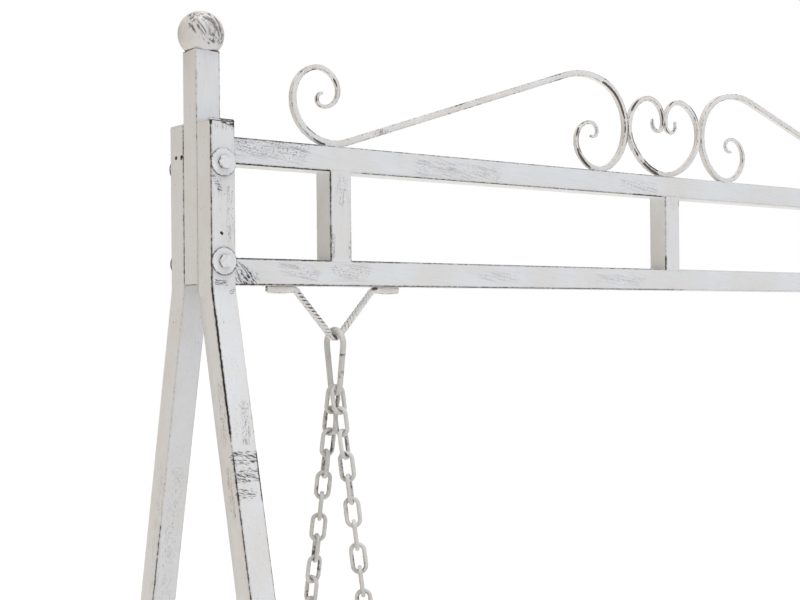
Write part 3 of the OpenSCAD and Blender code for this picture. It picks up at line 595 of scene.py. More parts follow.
whiteBar = {
    "name": "brushed white paint on forged bar",
    "whites": ("#E9E8E6", "#E0DCD5"), "iron": ("#2B2626", "#6B5F5A"),
    "patch": 48.0, "worn": (0.52, 0.72), "least": 0.3, "width": 0.85,
    "speck": 0.25, "stroke": 0.10, "depth": 0.95, "halo": 1.0, "rough": 0.5,
    "slant": (0, 20, 0), "specks": (1, 1, 2), "strokes": (1, 1, 8),
    "swipe": (0, 0, 0), "swipes": (3, 1, 1), "dragSize": 1.5,
    "rubs": (
        ((-124, -5, 1889), (-101, -5, 1873), 7, 2.3),       # large curl
        ((-101, -5, 1873), (-82, -5, 1844), 6, 1.9),
        ((-81, -5, 1836), (-80, -5, 1808), 6, 2.0),
        ((-175, -5, 1820), (-173, -5, 1785), 6, 2.5),
        ((-173, -5, 1785), (-157, -5, 1769), 7, 3.0),
        ((-183, -5, 1800), (-181, -5, 1782), 6, 1.4),
        ((-68, -5, 1858), (-60, -5, 1872), 7, 2.3),         # heart
        ((-69, -5, 1820), (-57, -5, 1797), 7, 2.4),
        ((-42, -5, 1785), (-22, -5, 1772), 8, 3.0),
        ((-7, -5, 1862), (-3, -5, 1840), 6, 2.1),
        ((-26, -5, 1847), (-17, -5, 1832), 5, 2.0),
        ((9, -5, 1872), (15, -5, 1877), 6, 1.8),
        ((57, -5, 1874), (69, -5, 1856), 7, 2.3),
        ((19, -5, 1834), (22, -5, 1838), 5, 2.0),
        ((-626, -5, 1849), (-600, -5, 1853), 7, 0.95),      # small curl
        ((-573, -5, 1842), (-572, -5, 1838), 6, 2.4),
        ((-599, -5, 1823), (-596, -5, 1820), 6, 1.8),
        ((-612, -5, 1784), (-590, -5, 1769), 5, 1.5),
    ),
    "scuffs": (
        ((-626, -4, 1849), (-598, -4, 1853), 8, 0.6),
        ((-512, -4, 1787), (-500, -4, 1791), 6, 1.3),
        ((-185, -4, 1812), (-184, -4, 1795), 7, 0.9),
    ),
}
whiteHanger = dict(
    whiteBar, name="brushed white paint on twisted bar", least=0.4, width=0.5, halo=0.7,
    rubs=(
        ((-624, -4, 1596), (-590, -4, 1563), 3.6, 1.6),
        ((-530, -4, 1597), (-563, -4, 1559), 3.5, 1.3),
        ((-664, 0, 1605), (-635, 0, 1605), 4, 1.1),
    ), scuffs=(),
    dragsAndShade=(
        ((-520, -4, 1604), (-516, -4, 1604), 3.8, 2.2),
        # painted contact shadow where the carabiner's top bow lies across the eye
        ((-579, -5, 1551), (-571, -5, 1542), 2.6, 2.2),
    ))
whiteChain = {
    "name": "thin white paint on welded chain",
    "whites": ("#D8D7D3", "#C8C6C0"), "iron": ("#35302E", "#7A706A"),
    "patch": 26.0, "worn": (0.30, 0.62), "least": 0.0, "width": 3.0,
    "speck": 0.5, "stroke": 0.08, "depth": 0.85, "halo": 2.4, "rough": 0.42,
    "slant": (0, 0, 0), "specks": (1, 1, 1.5), "strokes": (1, 1, 3),
}
whiteBolt = {
    "name": "white paint over zinc plated fasteners",
    "whites": ("#EBECEC", "#E5E5E4"), "iron": ("#2E2B2A", "#6F6A65"),
    "patch": 14.0, "worn": (0.30, 0.50), "least": 1.0, "width": 1.7,
    "speck": 0.25, "stroke": 0.05, "depth": 0.9, "halo": 1.2, "rough": 0.4,
    "slant": (0, 0, 0), "specks": (1, 1, 1), "strokes": (1, 1, 2),
}
tubePaint = wornPaint(whiteTube)
frontLegPaint = wornPaint(whiteFrontLeg)
rearLegPaint = wornPaint(whiteRearLeg)
postPaint = wornPaint(whitePost)
uprightPaint = wornPaint(whiteUpright)
railPaint = wornPaint(whiteRail)
deepPaint = wornPaint(whiteDeep)
barPaint = wornPaint(whiteBar)
hangerPaint = wornPaint(whiteHanger)
chainPaint = wornPaint(whiteChain)
boltPaint = wornPaint(whiteBolt)
print("materials are mixed")

# ---- square tubes ----

sides = ((-1, "Left"), (1, "Right"))
tubes = {"size": 30.0, "edge": 2.5, "small": 25.0, "rib": 18.0}
alongX, alongY, upright = (0, 90, 0), (-90, 0, 0), (0, 0, 0)


def tubeAlong(name, size, length, at, turn, within=Matrix.Identity(4)):
    bar = drawBar(name, [(0, 0, 90, size), (0, length, 90, size)], tubes["edge"])
    smooth(bar)
    return place(bar, at, turn, within)


def cut(piece, co, no):
    # takes off what lies on the side that "no" points to, in metres
    activate(piece)
    bpy.ops.object.mode_set(mode="EDIT")
    bpy.ops.mesh.select_all(action="SELECT")
    bpy.ops.mesh.bisect(plane_co=co, plane_no=no, use_fill=True, clear_outer=True)
    return endEdit()


beam = {"width": 1520.0, "underside": 1605.0, "height": 161.0, "hangX": 573.0}
railLength = beam["width"] - 2 * tubes["size"]
for name, node, z in (
        ("beamUpperRail", "beam_top_rail", beam["height"] - tubes["size"] / 2),
        ("beamLowerRail", "beam_bottom_rail", tubes["size"] / 2)):
    rail = tubeAlong(name, tubes["size"], railLength,
                     (-railLength / 2, 0, beam["underside"] + z), alongX)
    dress(rail, railPaint, "stand", node)
flush = tubes["size"] - tubes["edge"]  # welded and ground flush, so no groove shows at the rails
uprights = joined([
    tubeAlong("beamUpright", tubes["size"], beam["height"] - 2 * flush,
              (x, 0, beam["underside"] + flush), upright)
    for x in (-beam["hangX"], 0, beam["hangX"])], "beamUprights")
dress(uprights, uprightPaint, "stand", "beam_posts")

post = {"x": 745.0, "height": 251.0}
for side, word in sides:
    tube = tubeAlong("endPost" + word, tubes["size"], post["height"],
                     (side * post["x"], 0, beam["underside"]), upright)
    dress(tube, postPaint, "stand", "end_post_" + word.lower())
print("beam is welded up")

# ---- legs ----

cup = {"name": "off-white moulded polyethylene", "shades": ("#E4E3DF", "#CFCBC2"),
       "grain": 1 / 1600, "dust": 1 / 60, "sheen": (0.3, 0.7, 0.42, 0.6), "bump": (0.25, 0.0003),
       "height": 30.0, "sole": 4.0, "half": 18.3, "hole": 15.3, "bevel": 1.1,
       "follow": 0.86}  # the share of the walls' lean down to the sole
leg = {"top": 1777.0, "bendAt": 1605.889, "bendRadius": 60.0, "bendDrop": 6.0, "slope": 13.1,
       "spacing": 30.0, "run": 1640.0}
slope = math.radians(leg["slope"])
legPath = pathOf([[0, leg["top"] - leg["bendAt"]], [leg["bendRadius"], leg["slope"]],
                  [0, leg["run"]]], -90, 3)
legModel = drawBar("leg", [(*point, tubes["size"]) for point in legPath], tubes["edge"])
smooth(legModel)
for side, word in sides:
    for way, end in ((-1, "front"), (1, "rear")):
        tube = put(legModel, end + "Leg" + word,
                   (side * post["x"], way * leg["spacing"], leg["top"]), (0, 0, way * 90))
        cut(tube, (0, 0, cup["sole"] / 1000), (0, 0, -1))
        paint = {"frontLeft": frontLegPaint, "rearLeft": rearLegPaint}.get(end + word, tubePaint)
        dress(tube, paint, "stand", "leg_%s_%s" % (end, word.lower()))
discard(legModel)


def legAt(z):
    return leg["spacing"] + (beam["underside"] - leg["bendDrop"] - z) * math.tan(slope)


# ---- caps ----

cap = {"thick": 2.0, "rim": 0.5, "round": 0.4, "sunk": 0.01}


def capModel(name, size):
    thick = cap["thick"]
    settle(block((size, size, thick), (0, 0, thick / 2)))
    startEdit(name)
    pick("edges", lambda e: abs(e.verts[0].co.z - e.verts[1].co.z) > 1)
    bpy.ops.mesh.bevel(offset=tubes["edge"], segments=3)
    pick("faces", lambda f: f.normal.z > 0.9)
    bpy.ops.mesh.inset(thickness=cap["rim"])
    bpy.ops.transform.translate(value=(0, 0, -cap["sunk"]))
    pick("verts", lambda v: v.co.z > thick - cap["sunk"] / 2)
    drawnIn = 1 - 2 * cap["round"] / size
    bpy.ops.transform.resize(value=(drawnIn, drawnIn, 1))
    model = endEdit()
    half = size / 2
    noteTrace(model, lambda co: (
        abs(thick - co.z) + min(half - abs(co.x), half - abs(co.y)), unworn, unworn))
    smooth(model)
    return model


bigCap, smallCap = capModel("bigCap", tubes["size"]), capModel("smallCap", tubes["small"])
legCaps = [put(bigCap, "legCap", (x, y, leg["top"]))
           for x in (-post["x"], post["x"]) for y in (-leg["spacing"], leg["spacing"])]
dress(joined(legCaps, "legTopCaps"), frontLegPaint, "stand", "leg_top_caps")

# ---- cups under the feet ----


def cupModel(way):
    foot = way * legAt(0)
    lean = -way * math.tan(slope) * cup["height"]
    wide = cup["half"] / math.cos(slope)
    settle(block((2 * cup["half"], 2 * wide, cup["height"]), (0, foot, cup["height"] / 2)))
    startEdit("cup")
    pick("faces", lambda f: f.normal.z > 0.9)
    bpy.ops.transform.translate(value=(0, lean, 0))
    pick("faces", lambda f: f.normal.z > 0.9)
    bpy.ops.mesh.inset(thickness=cup["half"] - cup["hole"])
    sunk = cup["height"] - cup["sole"]
    bpy.ops.mesh.extrude_region_move(
        TRANSFORM_OT_translate={"value": (0, -lean * cup["follow"], -sunk)})
    piece = endEdit()
    soften(piece, cup["bevel"], 3)
    smooth(piece)
    return piece


cups = [place(cupModel(way), (side * post["x"], 0, 0)) for side, _ in sides for way in (-1, 1)]
dress(joined(cups, "footCups"), mouldedPlastic(cup), "stand", "foot_cups", slot="cups")

# ---- spreaders between the legs ----

spreader = {"z": 380.0, "x": 717.5, "over": 22.0}
reach = legAt(spreader["z"]) + spreader["over"]
spreaderCaps = []
for side, word in sides:
    tube = tubeAlong("spreader" + word, tubes["small"], 2 * reach,
                     (side * spreader["x"], -reach, spreader["z"]), alongY)
    dress(tube, deepPaint, "stand", "spreader_" + word.lower())
    for way in (-1, 1):
        spreaderCaps.append(put(
            smallCap, "spreaderCap", (side * spreader["x"], way * reach, spreader["z"]),
            (-way * 90, 0, 0)))
dress(joined(spreaderCaps, "spreaderCaps"), tubePaint, "stand", "spreader_caps")
print("legs stand")

# ---- balls ----

ball = {"radius": 25.0, "lift": 19.0, "throat": 1.4, "sunk": 0.5}
settle(add(bpy.ops.mesh.primitive_uv_sphere_add, segments=56, ring_count=32, radius=ball["radius"],
           location=(0, 0, ball["lift"])))
startEdit("ball")
bpy.ops.mesh.bisect(plane_co=(0, 0, 0), plane_no=(0, 0, -1), use_fill=True, clear_outer=True)
pick("faces", lambda f: len(f.verts) > 4 and f.normal.z < -0.9)
bpy.ops.mesh.inset(thickness=ball["throat"])
bpy.ops.transform.translate(value=(0, 0, ball["sunk"]))
ballModel = endEdit()
noteTrace(ballModel, lambda co: (unworn, max(0, co.z), unworn))
smooth(ballModel, 60)
whiteBall = dict(
    whiteBar, name="brushed white paint on steel ball", whites=("#DFDEDB", "#D6D2CC"),
    iron=("#3A3430", "#8A8078"), least=0.3, swipe=(-16, -26, 0), swipes=(1, 1, 6), dragSize=2.5,
    rubs=(
        ((-760, 8, 1856), (-758, -6, 1856), 6, 1.6),
        ((-740, -13, 1856), (-733, -12, 1856), 6, 1.6),
    ),
    scuffs=(
        ((-750, -22, 1884), (-738, -23, 1876), 13, 0.9),
    ),
    dragsAndShade=(
        ((-761, -8, 1895), (-762, -17, 1878), 10, 1.0),
        ((-756, -18, 1893), (-746, -24, 1866), 12, 0.95),
        ((-744, -19, 1893), (-732, -21, 1868), 12, 0.95),
    ))
ballPaint = wornPaint(whiteBall)
for side, word in sides:
    piece = put(ballModel, "ball" + word, (side * post["x"], 0, beam["underside"] + post["height"]))
    dress(piece, ballPaint, "stand", "ball_finial_" + word.lower())
discard(ballModel)

# ---- bolts, washers and nuts ----

bolt = {"shank": 8.0, "flats": 13.0, "head": 5.3, "nut": 6.5, "end": 3.0,
        "washer": 30.0, "thick": 1.6, "low": 24.0, "high": 128.0, "hexRound": 0.35,
        "crown": 0.2, "chamfer": 1.8, "washerRound": 0.45, "washerClear": 0.4, "nutClear": 0.1}


def hexModel(name, height, hole=0.0):
    # hexagon crossed with a cone, as a pressed head is
    flat = bolt["flats"] / 2
    head = settle(rod(flat / math.cos(math.pi / 6), height, (0, 0, height / 2),
                      (0, 0, math.pi / 6), 6))
    head.name = name
    carve(head, "INTERSECT", add(
        bpy.ops.mesh.primitive_cone_add, vertices=64, radius1=flat + 2 * height,
        radius2=flat - bolt["crown"], depth=height + 0.002, location=(0, 0, height / 2)))
    if hole:
        carve(head, "DIFFERENCE", rod(hole / 2, 3 * height))
    soften(head, bolt["hexRound"], 2, 0.6)
    # the flanks darken towards the face on the washer: chipped paint, and painted shade in the
    # crease there
    noteTrace(head, lambda co: (0.4 * abs(co.z), unworn, unworn))
    smooth(head, 35)
    return head


def shankModel(length):
    stations = [(0, -1, 90, bolt["shank"]), (0, length - 1, 90, bolt["shank"]),
                (0, length, 90, bolt["shank"] - bolt["chamfer"])]
    shank = drawBar("shank", stations, sides=24)
    smooth(shank, 50)
    return shank


def washerModel():
    hole = bolt["shank"] + bolt["washerClear"]
    add(bpy.ops.mesh.primitive_circle_add, vertices=64, radius=hole / 2, fill_type="NOTHING")
    startEdit("washer")
    grow = bolt["washer"] / hole
    bpy.ops.mesh.extrude_edges_move()
    bpy.ops.transform.resize(value=(grow, grow, 1))
    bpy.ops.mesh.extrude_edges_move(TRANSFORM_OT_translate={"value": (0, 0, bolt["thick"])})
    bpy.ops.mesh.extrude_edges_move()
    bpy.ops.transform.resize(value=(1 / grow, 1 / grow, 1))
    pick("edges", lambda e: e.is_boundary)
    bpy.ops.mesh.bridge_edge_loops()
    piece = endEdit()
    soften(piece, bolt["washerRound"], 3, 1.0)
    # dark along the outer rim: worn paint, and a painted contact shadow against the tube
    noteTrace(piece, lambda co: (abs(bolt["washer"] / 2 - co.xy.length) + 0.5, unworn, unworn))
    smooth(piece, 35)
    return piece


headModel = hexModel("head", bolt["head"])
nutModel = hexModel("nut", bolt["nut"], bolt["shank"] + bolt["nutClear"])
washer = washerModel()
legPlaces = [((x, -3 * tubes["size"] / 2, beam["underside"] + z), (-90, 0, 0))
             for x in (-post["x"], post["x"]) for z in (bolt["low"], bolt["high"])]
legFace, legMiddle = post["x"] + tubes["size"] / 2, legAt(spreader["z"])
spreaderPlaces = [((side * legFace, way * legMiddle, spreader["z"]), (0, -side * 90, 0))
                  for side, _ in sides for way in (-1, 1)]
washers, nuts = [], []
for places, grip, name, node in (
        (legPlaces, 3 * tubes["size"], "beamBolts", "beam_bolts"),
        (spreaderPlaces, tubes["size"] + tubes["small"], "spreaderBolts", "spreader_bolts")):
    made = []
    shankPiece = shankModel(grip + 2 * bolt["thick"] + bolt["nut"] + bolt["end"])
    outside = (0, 0, -bolt["thick"])
    for where in places:
        local = pose(*where)
        made.append(put(headModel, name, outside, (180, 0, 0), local))
        made.append(put(shankPiece, name, outside, upright, local))
        washers.append(put(washer, "washer", outside, upright, local))
        washers.append(put(washer, "washer", (0, 0, grip), upright, local))
        nuts.append(put(nutModel, "nut", (0, 0, grip + bolt["thick"]), upright, local))
    discard(shankPiece)
    dress(joined(made, name), boltPaint, "stand", node, slot="painted_bolts")
dress(joined(washers, "boltWashers"), boltPaint, "stand", "bolt_washers", slot="painted_bolts")
dress(joined(nuts, "boltNuts"), boltPaint, "stand", "bolt_nuts", slot="painted_bolts")
discard(headModel, nutModel, washer)
print("bolts are in")

# ---- scrolls and hearts ----

scroll = {
    "bar": 8.0, "tip": 3.6, "reach": 240.0, "corner": 1.3, "clear": 0.1,
    "small": [[60, 55], [45, 69], [37, 57], [28.5, 80], [20, 126], [7.6, 170]],
    "large": [[113, 38], [63.5, 129], [44.5, 92], [26.7, 124], [14, 46], [8.5, 154]],
    "beam": (378.0, 18.1828), "back": (300.0, 21.9866),  # straight and its slope
}
heart = {
    "bar": 7.0, "reach": 120.0, "foot": 0.2945, "start": 2.6, "corner": 1.1,
    "curl": [[83, 55], [44.3, 113], [29, 118.5], [9.9, 88], [11.3, 97]],
}
heartStations = drawnDown(pathOf([[0, heart["foot"]]] + heart["curl"], heart["start"]),
                          heart["bar"], scroll["tip"], heart["reach"])
heartStations = shifted(heartStations, scroll["clear"] / 2, scroll["clear"] - lowest(heartStations))
heartHalf = furthestRight(heartStations)
heartModel = drawBar("halfHeart", blunt(heartStations), heart["corner"])
smooth(heartModel)


def doubleCurl(first, last, run, rise):
    # one curl, a straight and a curl the other way, with the straight at a slope of "rise"
    start = rise - sum(turn for _, turn in first)
    otherWay = [[radius, -turn] for radius, turn in last]
    return pathOf([*reversed(first), [0, run], *otherWay], start)


def ornament(where, body, at, within=Matrix.Identity(4)):
    # a long scroll on each side, and a heart of two halves in the middle
    points = doubleCurl(scroll["small"], scroll["large"], *scroll[where])
    stations = drawnDown(points, scroll["bar"], scroll["tip"], scroll["reach"], True)
    stations = shifted(stations, -furthestRight(stations) - heartHalf - scroll["clear"],
                       scroll["clear"] - lowest(stations))
    left = place(drawBar(where + "Scroll", blunt(stations, True), scroll["corner"]),
                 at, upright, within)
    left.name = where + "ScrollLeft"
    right = mirrored(left, where + "ScrollRight")
    heartRight = put(heartModel, where + "HeartRight", at, upright, within)
    heartLeft = mirrored(heartRight, where + "HeartLeft")
    for piece in (left, right, heartLeft):
        smooth(piece)
    for piece, node in ((left, "_scroll_left"), (right, "_scroll_right"),
                        (heartRight, "_heart_right"), (heartLeft, "_heart_left")):
        dress(piece, barPaint, body, where + node)


ornament("beam", "stand", (0, 0, beam["underside"] + beam["height"]))
print("scrolls are bent")

# ---- hangers ----

hanger = {"bar": 7.0, "drop": 58.2, "eyeBar": 9.0, "eyeBend": 10.0, "tabBend": 8.0,
          "tilt": 47.53, "run": 66.23, "twist": 1080.0, "steps": 48, "forged": 4, "corner": 2.6,
          "swell": 0.15, "eyeSwell": 0.35,  # how much each step towards the eye is thicker
          # the tab is flattened a little, and rounded at its end: run and size
          "tab": ((0, 5.6), (0.8, 6.9), (3, 7.8), (9, 8.3), (22, 8.4), (30, 7.8), (34, 7.2))}


def hangerHalf():
    # from the tab to the bottom of the eye, turned so that the twisted arm stands upright
    start = 90 + hanger["tilt"]
    a = math.radians(start)
    stations = []
    for run, size in hanger["tab"]:
        drop = (size - hanger["bar"]) / 2  # its top stays against the beam
        stations.append((run * math.cos(a) + drop * math.sin(a),
                         run * math.sin(a) - drop * math.cos(a), start, size))
    x, z, _ = pathOf([[0, run]], start)[-1]
    for dx, dz, h in pathOf([[hanger["tabBend"], -hanger["tilt"]]], start, 6)[1:]:
        stations.append((x + dx, z + dz, h, hanger["bar"]))
    x, z = stations[-1][:2]
    steps = hanger["steps"]
    for k in range(1, steps + 1):
        forged = max(0, k + hanger["forged"] - steps)  # the last steps are hammered round
        roundness = 1 / (hanger["forged"] + 1 - forged) if forged else 0
        size = hanger["bar"] + forged * hanger["swell"]
        stations.append((x, z + hanger["run"] * k / steps, 90, size, hanger["twist"] / steps,
                         roundness))
    x, z = stations[-1][:2]
    for dx, dz, h in pathOf([[hanger["eyeBend"], hanger["tilt"]]], 90, 6)[1:]:
        size = min(hanger["eyeBar"], stations[-1][3] + hanger["eyeSwell"])
        stations.append((x + dx, z + dz, h, size, 0, 1))
    return shifted(stations, -stations[-1][0], -stations[-1][1])


half = drawBar("hanger", hangerHalf(), hanger["corner"])
half.rotation_euler.y = math.radians(90 + hanger["tilt"])
settle(half)
otherHalf = copyOf(half, "otherHalf")
otherHalf.rotation_euler.z = math.pi
hangerModel = joined([half, settle(otherHalf)], "hanger")
bpy.ops.object.mode_set(mode="EDIT")
pick("faces", lambda f: len(f.verts) > 4 and abs(f.calc_center_median().x) < 0.5)
bpy.ops.mesh.delete(type="ONLY_FACE")
bpy.ops.mesh.select_all(action="SELECT")
bpy.ops.mesh.remove_doubles(threshold=0.05)
hangerModel = endEdit()
smooth(hangerModel, 50)
for side, word in sides:
    piece = put(hangerModel, "hanger" + word,
                (side * beam["hangX"], 0, beam["underside"] - hanger["drop"]))
    dress(piece, hangerPaint, "stand", "hanger_" + word.lower())
discard(hangerModel)
print("hangers are twisted")

# ---- carabiners and gates ----

carabiner = {"wire": 7.0, "topRadius": 16.5, "lowRadius": 9.0, "gap": 47.5, "middle": 1538.6,
             "nose": 9.0, "clear": 0.6, "gate": 22.5, "pin": 2.0, "pinLength": 6.9, "round": 0.3,
             "tongue": 3.0, "knuckle": 3.1, "knuckleRound": 0.25, "overlap": 0.5, "stubClear": 0.3,
             "slot": 9.0, "slotClear": 0.4, "slotLength": 10.4, "slotDrop": 1.5, "tail": 3.2,
             # the gate's ends: run from the end and size
             "gateTop": ((0, 6.4), (0.3, 7.0)), "gateFoot": ((1.4, 7.0), (0.4, 6.2), (0, 4.6)),
             "rubTop": 13.0, "rubLow": 5.5}  # where the eye and the chains rub
lean = math.asin((carabiner["topRadius"] - carabiner["lowRadius"]) / carabiner["gap"])
sideRun = carabiner["gap"] * math.cos(lean)
gateStart = carabiner["nose"] + carabiner["clear"]
pinRun = gateStart + carabiner["gate"]
stub = pinRun + carabiner["wire"] / 2 + carabiner["stubClear"]
onItsSide, alongWire = (math.pi / 2, 0, 0), (0, -lean, 0)


def frontSide(run):
    # a place on the gate's side of the wire, by its distance from the top arc
    return Vector((-carabiner["topRadius"] * math.cos(lean) + run * math.sin(lean), 0,
                   -carabiner["topRadius"] * math.sin(lean) - run * math.cos(lean)))


down = math.degrees(lean) - 90
wirePath = pathOf([
    [0, sideRun - stub], [carabiner["lowRadius"], 180 - 2 * math.degrees(lean)], [0, sideRun],
    [carabiner["topRadius"], 180 + 2 * math.degrees(lean)], [0, carabiner["nose"]]], down, 8)
begin = frontSide(stub)
wireStations = shifted([(*point, carabiner["wire"]) for point in wirePath], begin.x, begin.z)
wireModel = drawBar("carabiner", wireStations, sides=20)
soften(wireModel, carabiner["round"], 2, 1.2)
pinAt = frontSide(pinRun)
knuckle = rod(carabiner["knuckle"], carabiner["tongue"], pinAt, onItsSide, 32)
tongueBlock = block(
    (2 * carabiner["knuckle"], carabiner["tongue"], stub - pinRun + carabiner["overlap"]),
    frontSide((pinRun + stub + carabiner["overlap"]) / 2), alongWire)
for part in (knuckle, tongueBlock):
    soften(part, carabiner["knuckleRound"], 2, 1.2)
wireModel = joined([wireModel, knuckle, tongueBlock], "carabiner")
contacts = [Vector((0, 0, z)) for z in (carabiner["rubTop"],
                                        -carabiner["gap"] - carabiner["rubLow"])]
nose = frontSide(carabiner["nose"])
noteTrace(wireModel, lambda co: (
    min((co - c).length for c in contacts) + 0.5, ((co - nose).length - 3.4) * 4, unworn))
smooth(wireModel, 50)

gateTop = frontSide(gateStart)
gateLength = carabiner["gate"] + carabiner["tail"]
gateFoot = [(gateLength - left, size) for left, size in carabiner["gateFoot"]]
gateStations = []
for run, size in (*carabiner["gateTop"], *gateFoot):
    spot = frontSide(gateStart + run)
    gateStations.append((spot.x, spot.z, down, size))
gateModel = drawBar("gate", gateStations, sides=20)
slotWide = carabiner["tongue"] + carabiner["slotClear"]
carve(gateModel, "DIFFERENCE", block(
    (carabiner["slot"], slotWide, carabiner["slotLength"]),
    frontSide(pinRun + carabiner["slotDrop"]), alongWire))
noteTrace(gateModel, lambda co: (unworn, (co - gateTop).length * 0.6, (co - pinAt).length * 0.6))
smooth(gateModel, 45)

pinModel = settle(rod(carabiner["pin"] / 2, carabiner["pinLength"], pinAt, onItsSide, 24))
soften(pinModel, carabiner["round"], 3, 1.0)
noteTrace(pinModel, lambda co: (0, 0, 0))
smooth(pinModel, 50)
pins = []
for side, word in sides:
    where = (side * beam["hangX"], 0, carabiner["middle"]), (0, 0, 90)
    low = word.lower()
    dress(put(wireModel, "carabiner" + word, *where), chainPaint, "swing", "carabiner_" + low,
          slot="painted_chain")
    dress(put(gateModel, "gate" + word, *where), chainPaint, "gate_" + low, "gate_" + low,
          slot="painted_chain")
    pins.append(put(pinModel, "pin", *where))
dress(joined(pins, "gatePins"), chainPaint, "swing", "gate_pins", slot="painted_chain")
discard(wireModel, gateModel, pinModel)
print("carabiners are closed")

# ---- chains ----

chain = {"wire": 5.0, "width": 20.0, "links": 33, "pitch": 25.9541, "span": 36.2541,
         "top": 1490.05, "offset": 2.65, "slope": 11.8, "weld": 5.7, "weldRun": 1.6,
         "frontTurn": (56.0, ((0, 0), (1, 0.32), (3, 0.6), (5, 1), (18.15, 1), (32, 0))),
         "rearTurn": (34.0, ((0, 0), (1, 0.55), (2, 0), (4, -1), (6, -1), (9, 0.35), (32, 0)))}
bow = (chain["width"] - chain["wire"]) / 2
straight = chain["span"] - chain["width"]
plainRun = [0, straight / 2 - chain["weldRun"]]
linkPath = pathOf([plainRun, [0, chain["weldRun"]], [0, chain["weldRun"]], plainRun, [bow, 180],
                   [0, straight], [bow, 180]], 90, 15)
linkStations = shifted([(*point, chain["weld"] if k == 2 else chain["wire"])
                        for k, point in enumerate(linkPath)], bow, -straight / 2)
linkModel = drawBar("link", linkStations, sides=12, closed=True)
linkContacts = [Vector((0, 0, way * (chain["span"] / 2 - chain["wire"]))) for way in (-1, 1)]
seam = Vector((bow, 0, 0))


def linkTrace(co):
    # bows rub on bows and wear there, with painted shade where they meet and on the wire's inner
    # side
    level = max(-straight / 2, min(straight / 2, co.z))
    outward = math.hypot(co.x, co.z - level)
    inner = (bow - outward) / (chain["wire"] / 2)
    contact = min((co - c).length for c in linkContacts) - 1.2
    return max(0, min(contact, 3.2 - 2.2 * inner)), (co - seam).length + 1.2, unworn


noteTrace(linkModel, linkTrace)
smooth(linkModel, 180)


def turnOf(rule, k):
    most, points = rule
    for (a, low), (b, high) in zip(points, points[1:]):
        if k <= b:
            return most * (low + (high - low) * (k - a) / (b - a))
    return 0


for side, word in sides:
    for way, end in ((-1, "front"), (1, "rear")):
        hung = pose((side * beam["hangX"], way * chain["offset"], chain["top"]),
                    (way * chain["slope"], 0, 0))
        links = []
        for k in range(chain["links"]):
            angle = 90 * (k % 2) + turnOf(chain[end + "Turn"], k)
            drop = chain["wire"] / 2 - chain["span"] / 2 - k * chain["pitch"]
            flip = 180 if k % 4 > 1 else 0  # the welds don't all lie on one side
            links.append(put(linkModel, "link", (0, 0, drop), (0, 0, flip - side * angle), hung))
        dress(joined(links, end + "Chain" + word), chainPaint, "swing",
              "chain_%s_%s" % (end, word.lower()), slot="painted_chain")
discard(linkModel)

lug = {"radius": 14.0, "thick": 5.0, "hole": 12.0, "y": 179.399, "z": 644.0, "round": 0.6}
lugTurn = (0, math.pi / 2, 0)
lugModel = settle(rod(lug["radius"], lug["thick"], turn=lugTurn))
carve(lugModel, "UNION", settle(block(
    (lug["thick"], 2 * lug["radius"], lug["radius"]), (0, 0, -lug["radius"] / 2))))
carve(lugModel, "DIFFERENCE", rod(lug["hole"] / 2, 4 * lug["thick"], turn=lugTurn))
soften(lugModel, lug["round"], 2, 1.0)
rubbedAt = Vector((0, 0, lug["hole"] / 2))
noteTrace(lugModel, lambda co: (
    abs(abs(co.x) - lug["thick"] / 2) + 0.3, unworn, (co - rubbedAt).length))
smooth(lugModel, 40)
lugs = [put(lugModel, "lug", (side * beam["hangX"], way * lug["y"], lug["z"]))
        for side, _ in sides for way in (-1, 1)]
dress(joined(lugs, "chainLugs"), barPaint, "swing", "chain_lugs")
discard(lugModel)
print("chains hang")

# ---- seat ----

seat = {"x": 573.0, "top": 410.0, "front": -341.805, "back": 178.195, "slats": 10, "pitch": 45.4545,
        "slatWide": 30.0, "slatThick": 4.0, "slatEdge": 1.1, "slatClear": 2.0, "ribTop": 405.0}
inner = seat["x"] - tubes["small"] / 2
railZ = seat["top"] - tubes["small"] / 2
for side, word in sides:
    tube = tubeAlong("seatSide" + word, tubes["small"], seat["back"] - seat["front"],
                     (side * seat["x"], seat["front"], railZ), alongY)
    dress(tube, deepPaint, "swing", "seat_side_rail_" + word.lower())
for name, node, y in (("seatFront", "seat_front_rail", seat["front"] + tubes["small"] / 2),
                      ("seatRear", "seat_rear_rail", seat["back"] - tubes["small"] / 2)):
    tube = tubeAlong(name, tubes["small"], 2 * inner, (-inner, y, railZ), alongX)
    dress(tube, railPaint, "swing", node)
ribRun = seat["back"] - seat["front"] - 2 * tubes["small"]
ribX = inner - tubes["rib"] / 2
ribs = [tubeAlong("rib", tubes["rib"], ribRun,
                  (x, seat["front"] + tubes["small"], seat["ribTop"] - tubes["rib"] / 2), alongY)
        for x in (-ribX, -ribX / 3, ribX / 3, ribX)]
dress(joined(ribs, "seatRibs"), deepPaint, "swing", "seat_ribs")

slatWide, slatThick = seat["slatWide"], seat["slatThick"]
settle(block((2 * inner - seat["slatClear"], slatWide, slatThick), (0, 0, slatThick / 2)))
startEdit("slat")
bpy.ops.mesh.bisect(plane_co=(0, 0, 0), plane_no=(0, 1, 0))
pick("edges", lambda e: (
    abs(e.verts[0].co.x - e.verts[1].co.x) > 100 and abs(e.verts[0].co.y) > 1))
bpy.ops.mesh.bevel(offset=seat["slatEdge"], segments=3)
slatModel = endEdit()
noteTrace(slatModel, lambda co: (
    slatWide / 2 - abs(co.y) + slatThick / 2 - abs(co.z - slatThick / 2),
    inner + co.x, inner - co.x))
smooth(slatModel)
first = seat["front"] + tubes["small"] + seat["pitch"] - slatWide / 2
slats = [put(slatModel, "slat", (0, first + k * seat["pitch"], seat["ribTop"]))
         for k in range(seat["slats"])]
dress(joined(slats, "seatSlats"), railPaint, "swing", "seat_slats")
discard(slatModel)

# ---- back, leaned as one frame ----

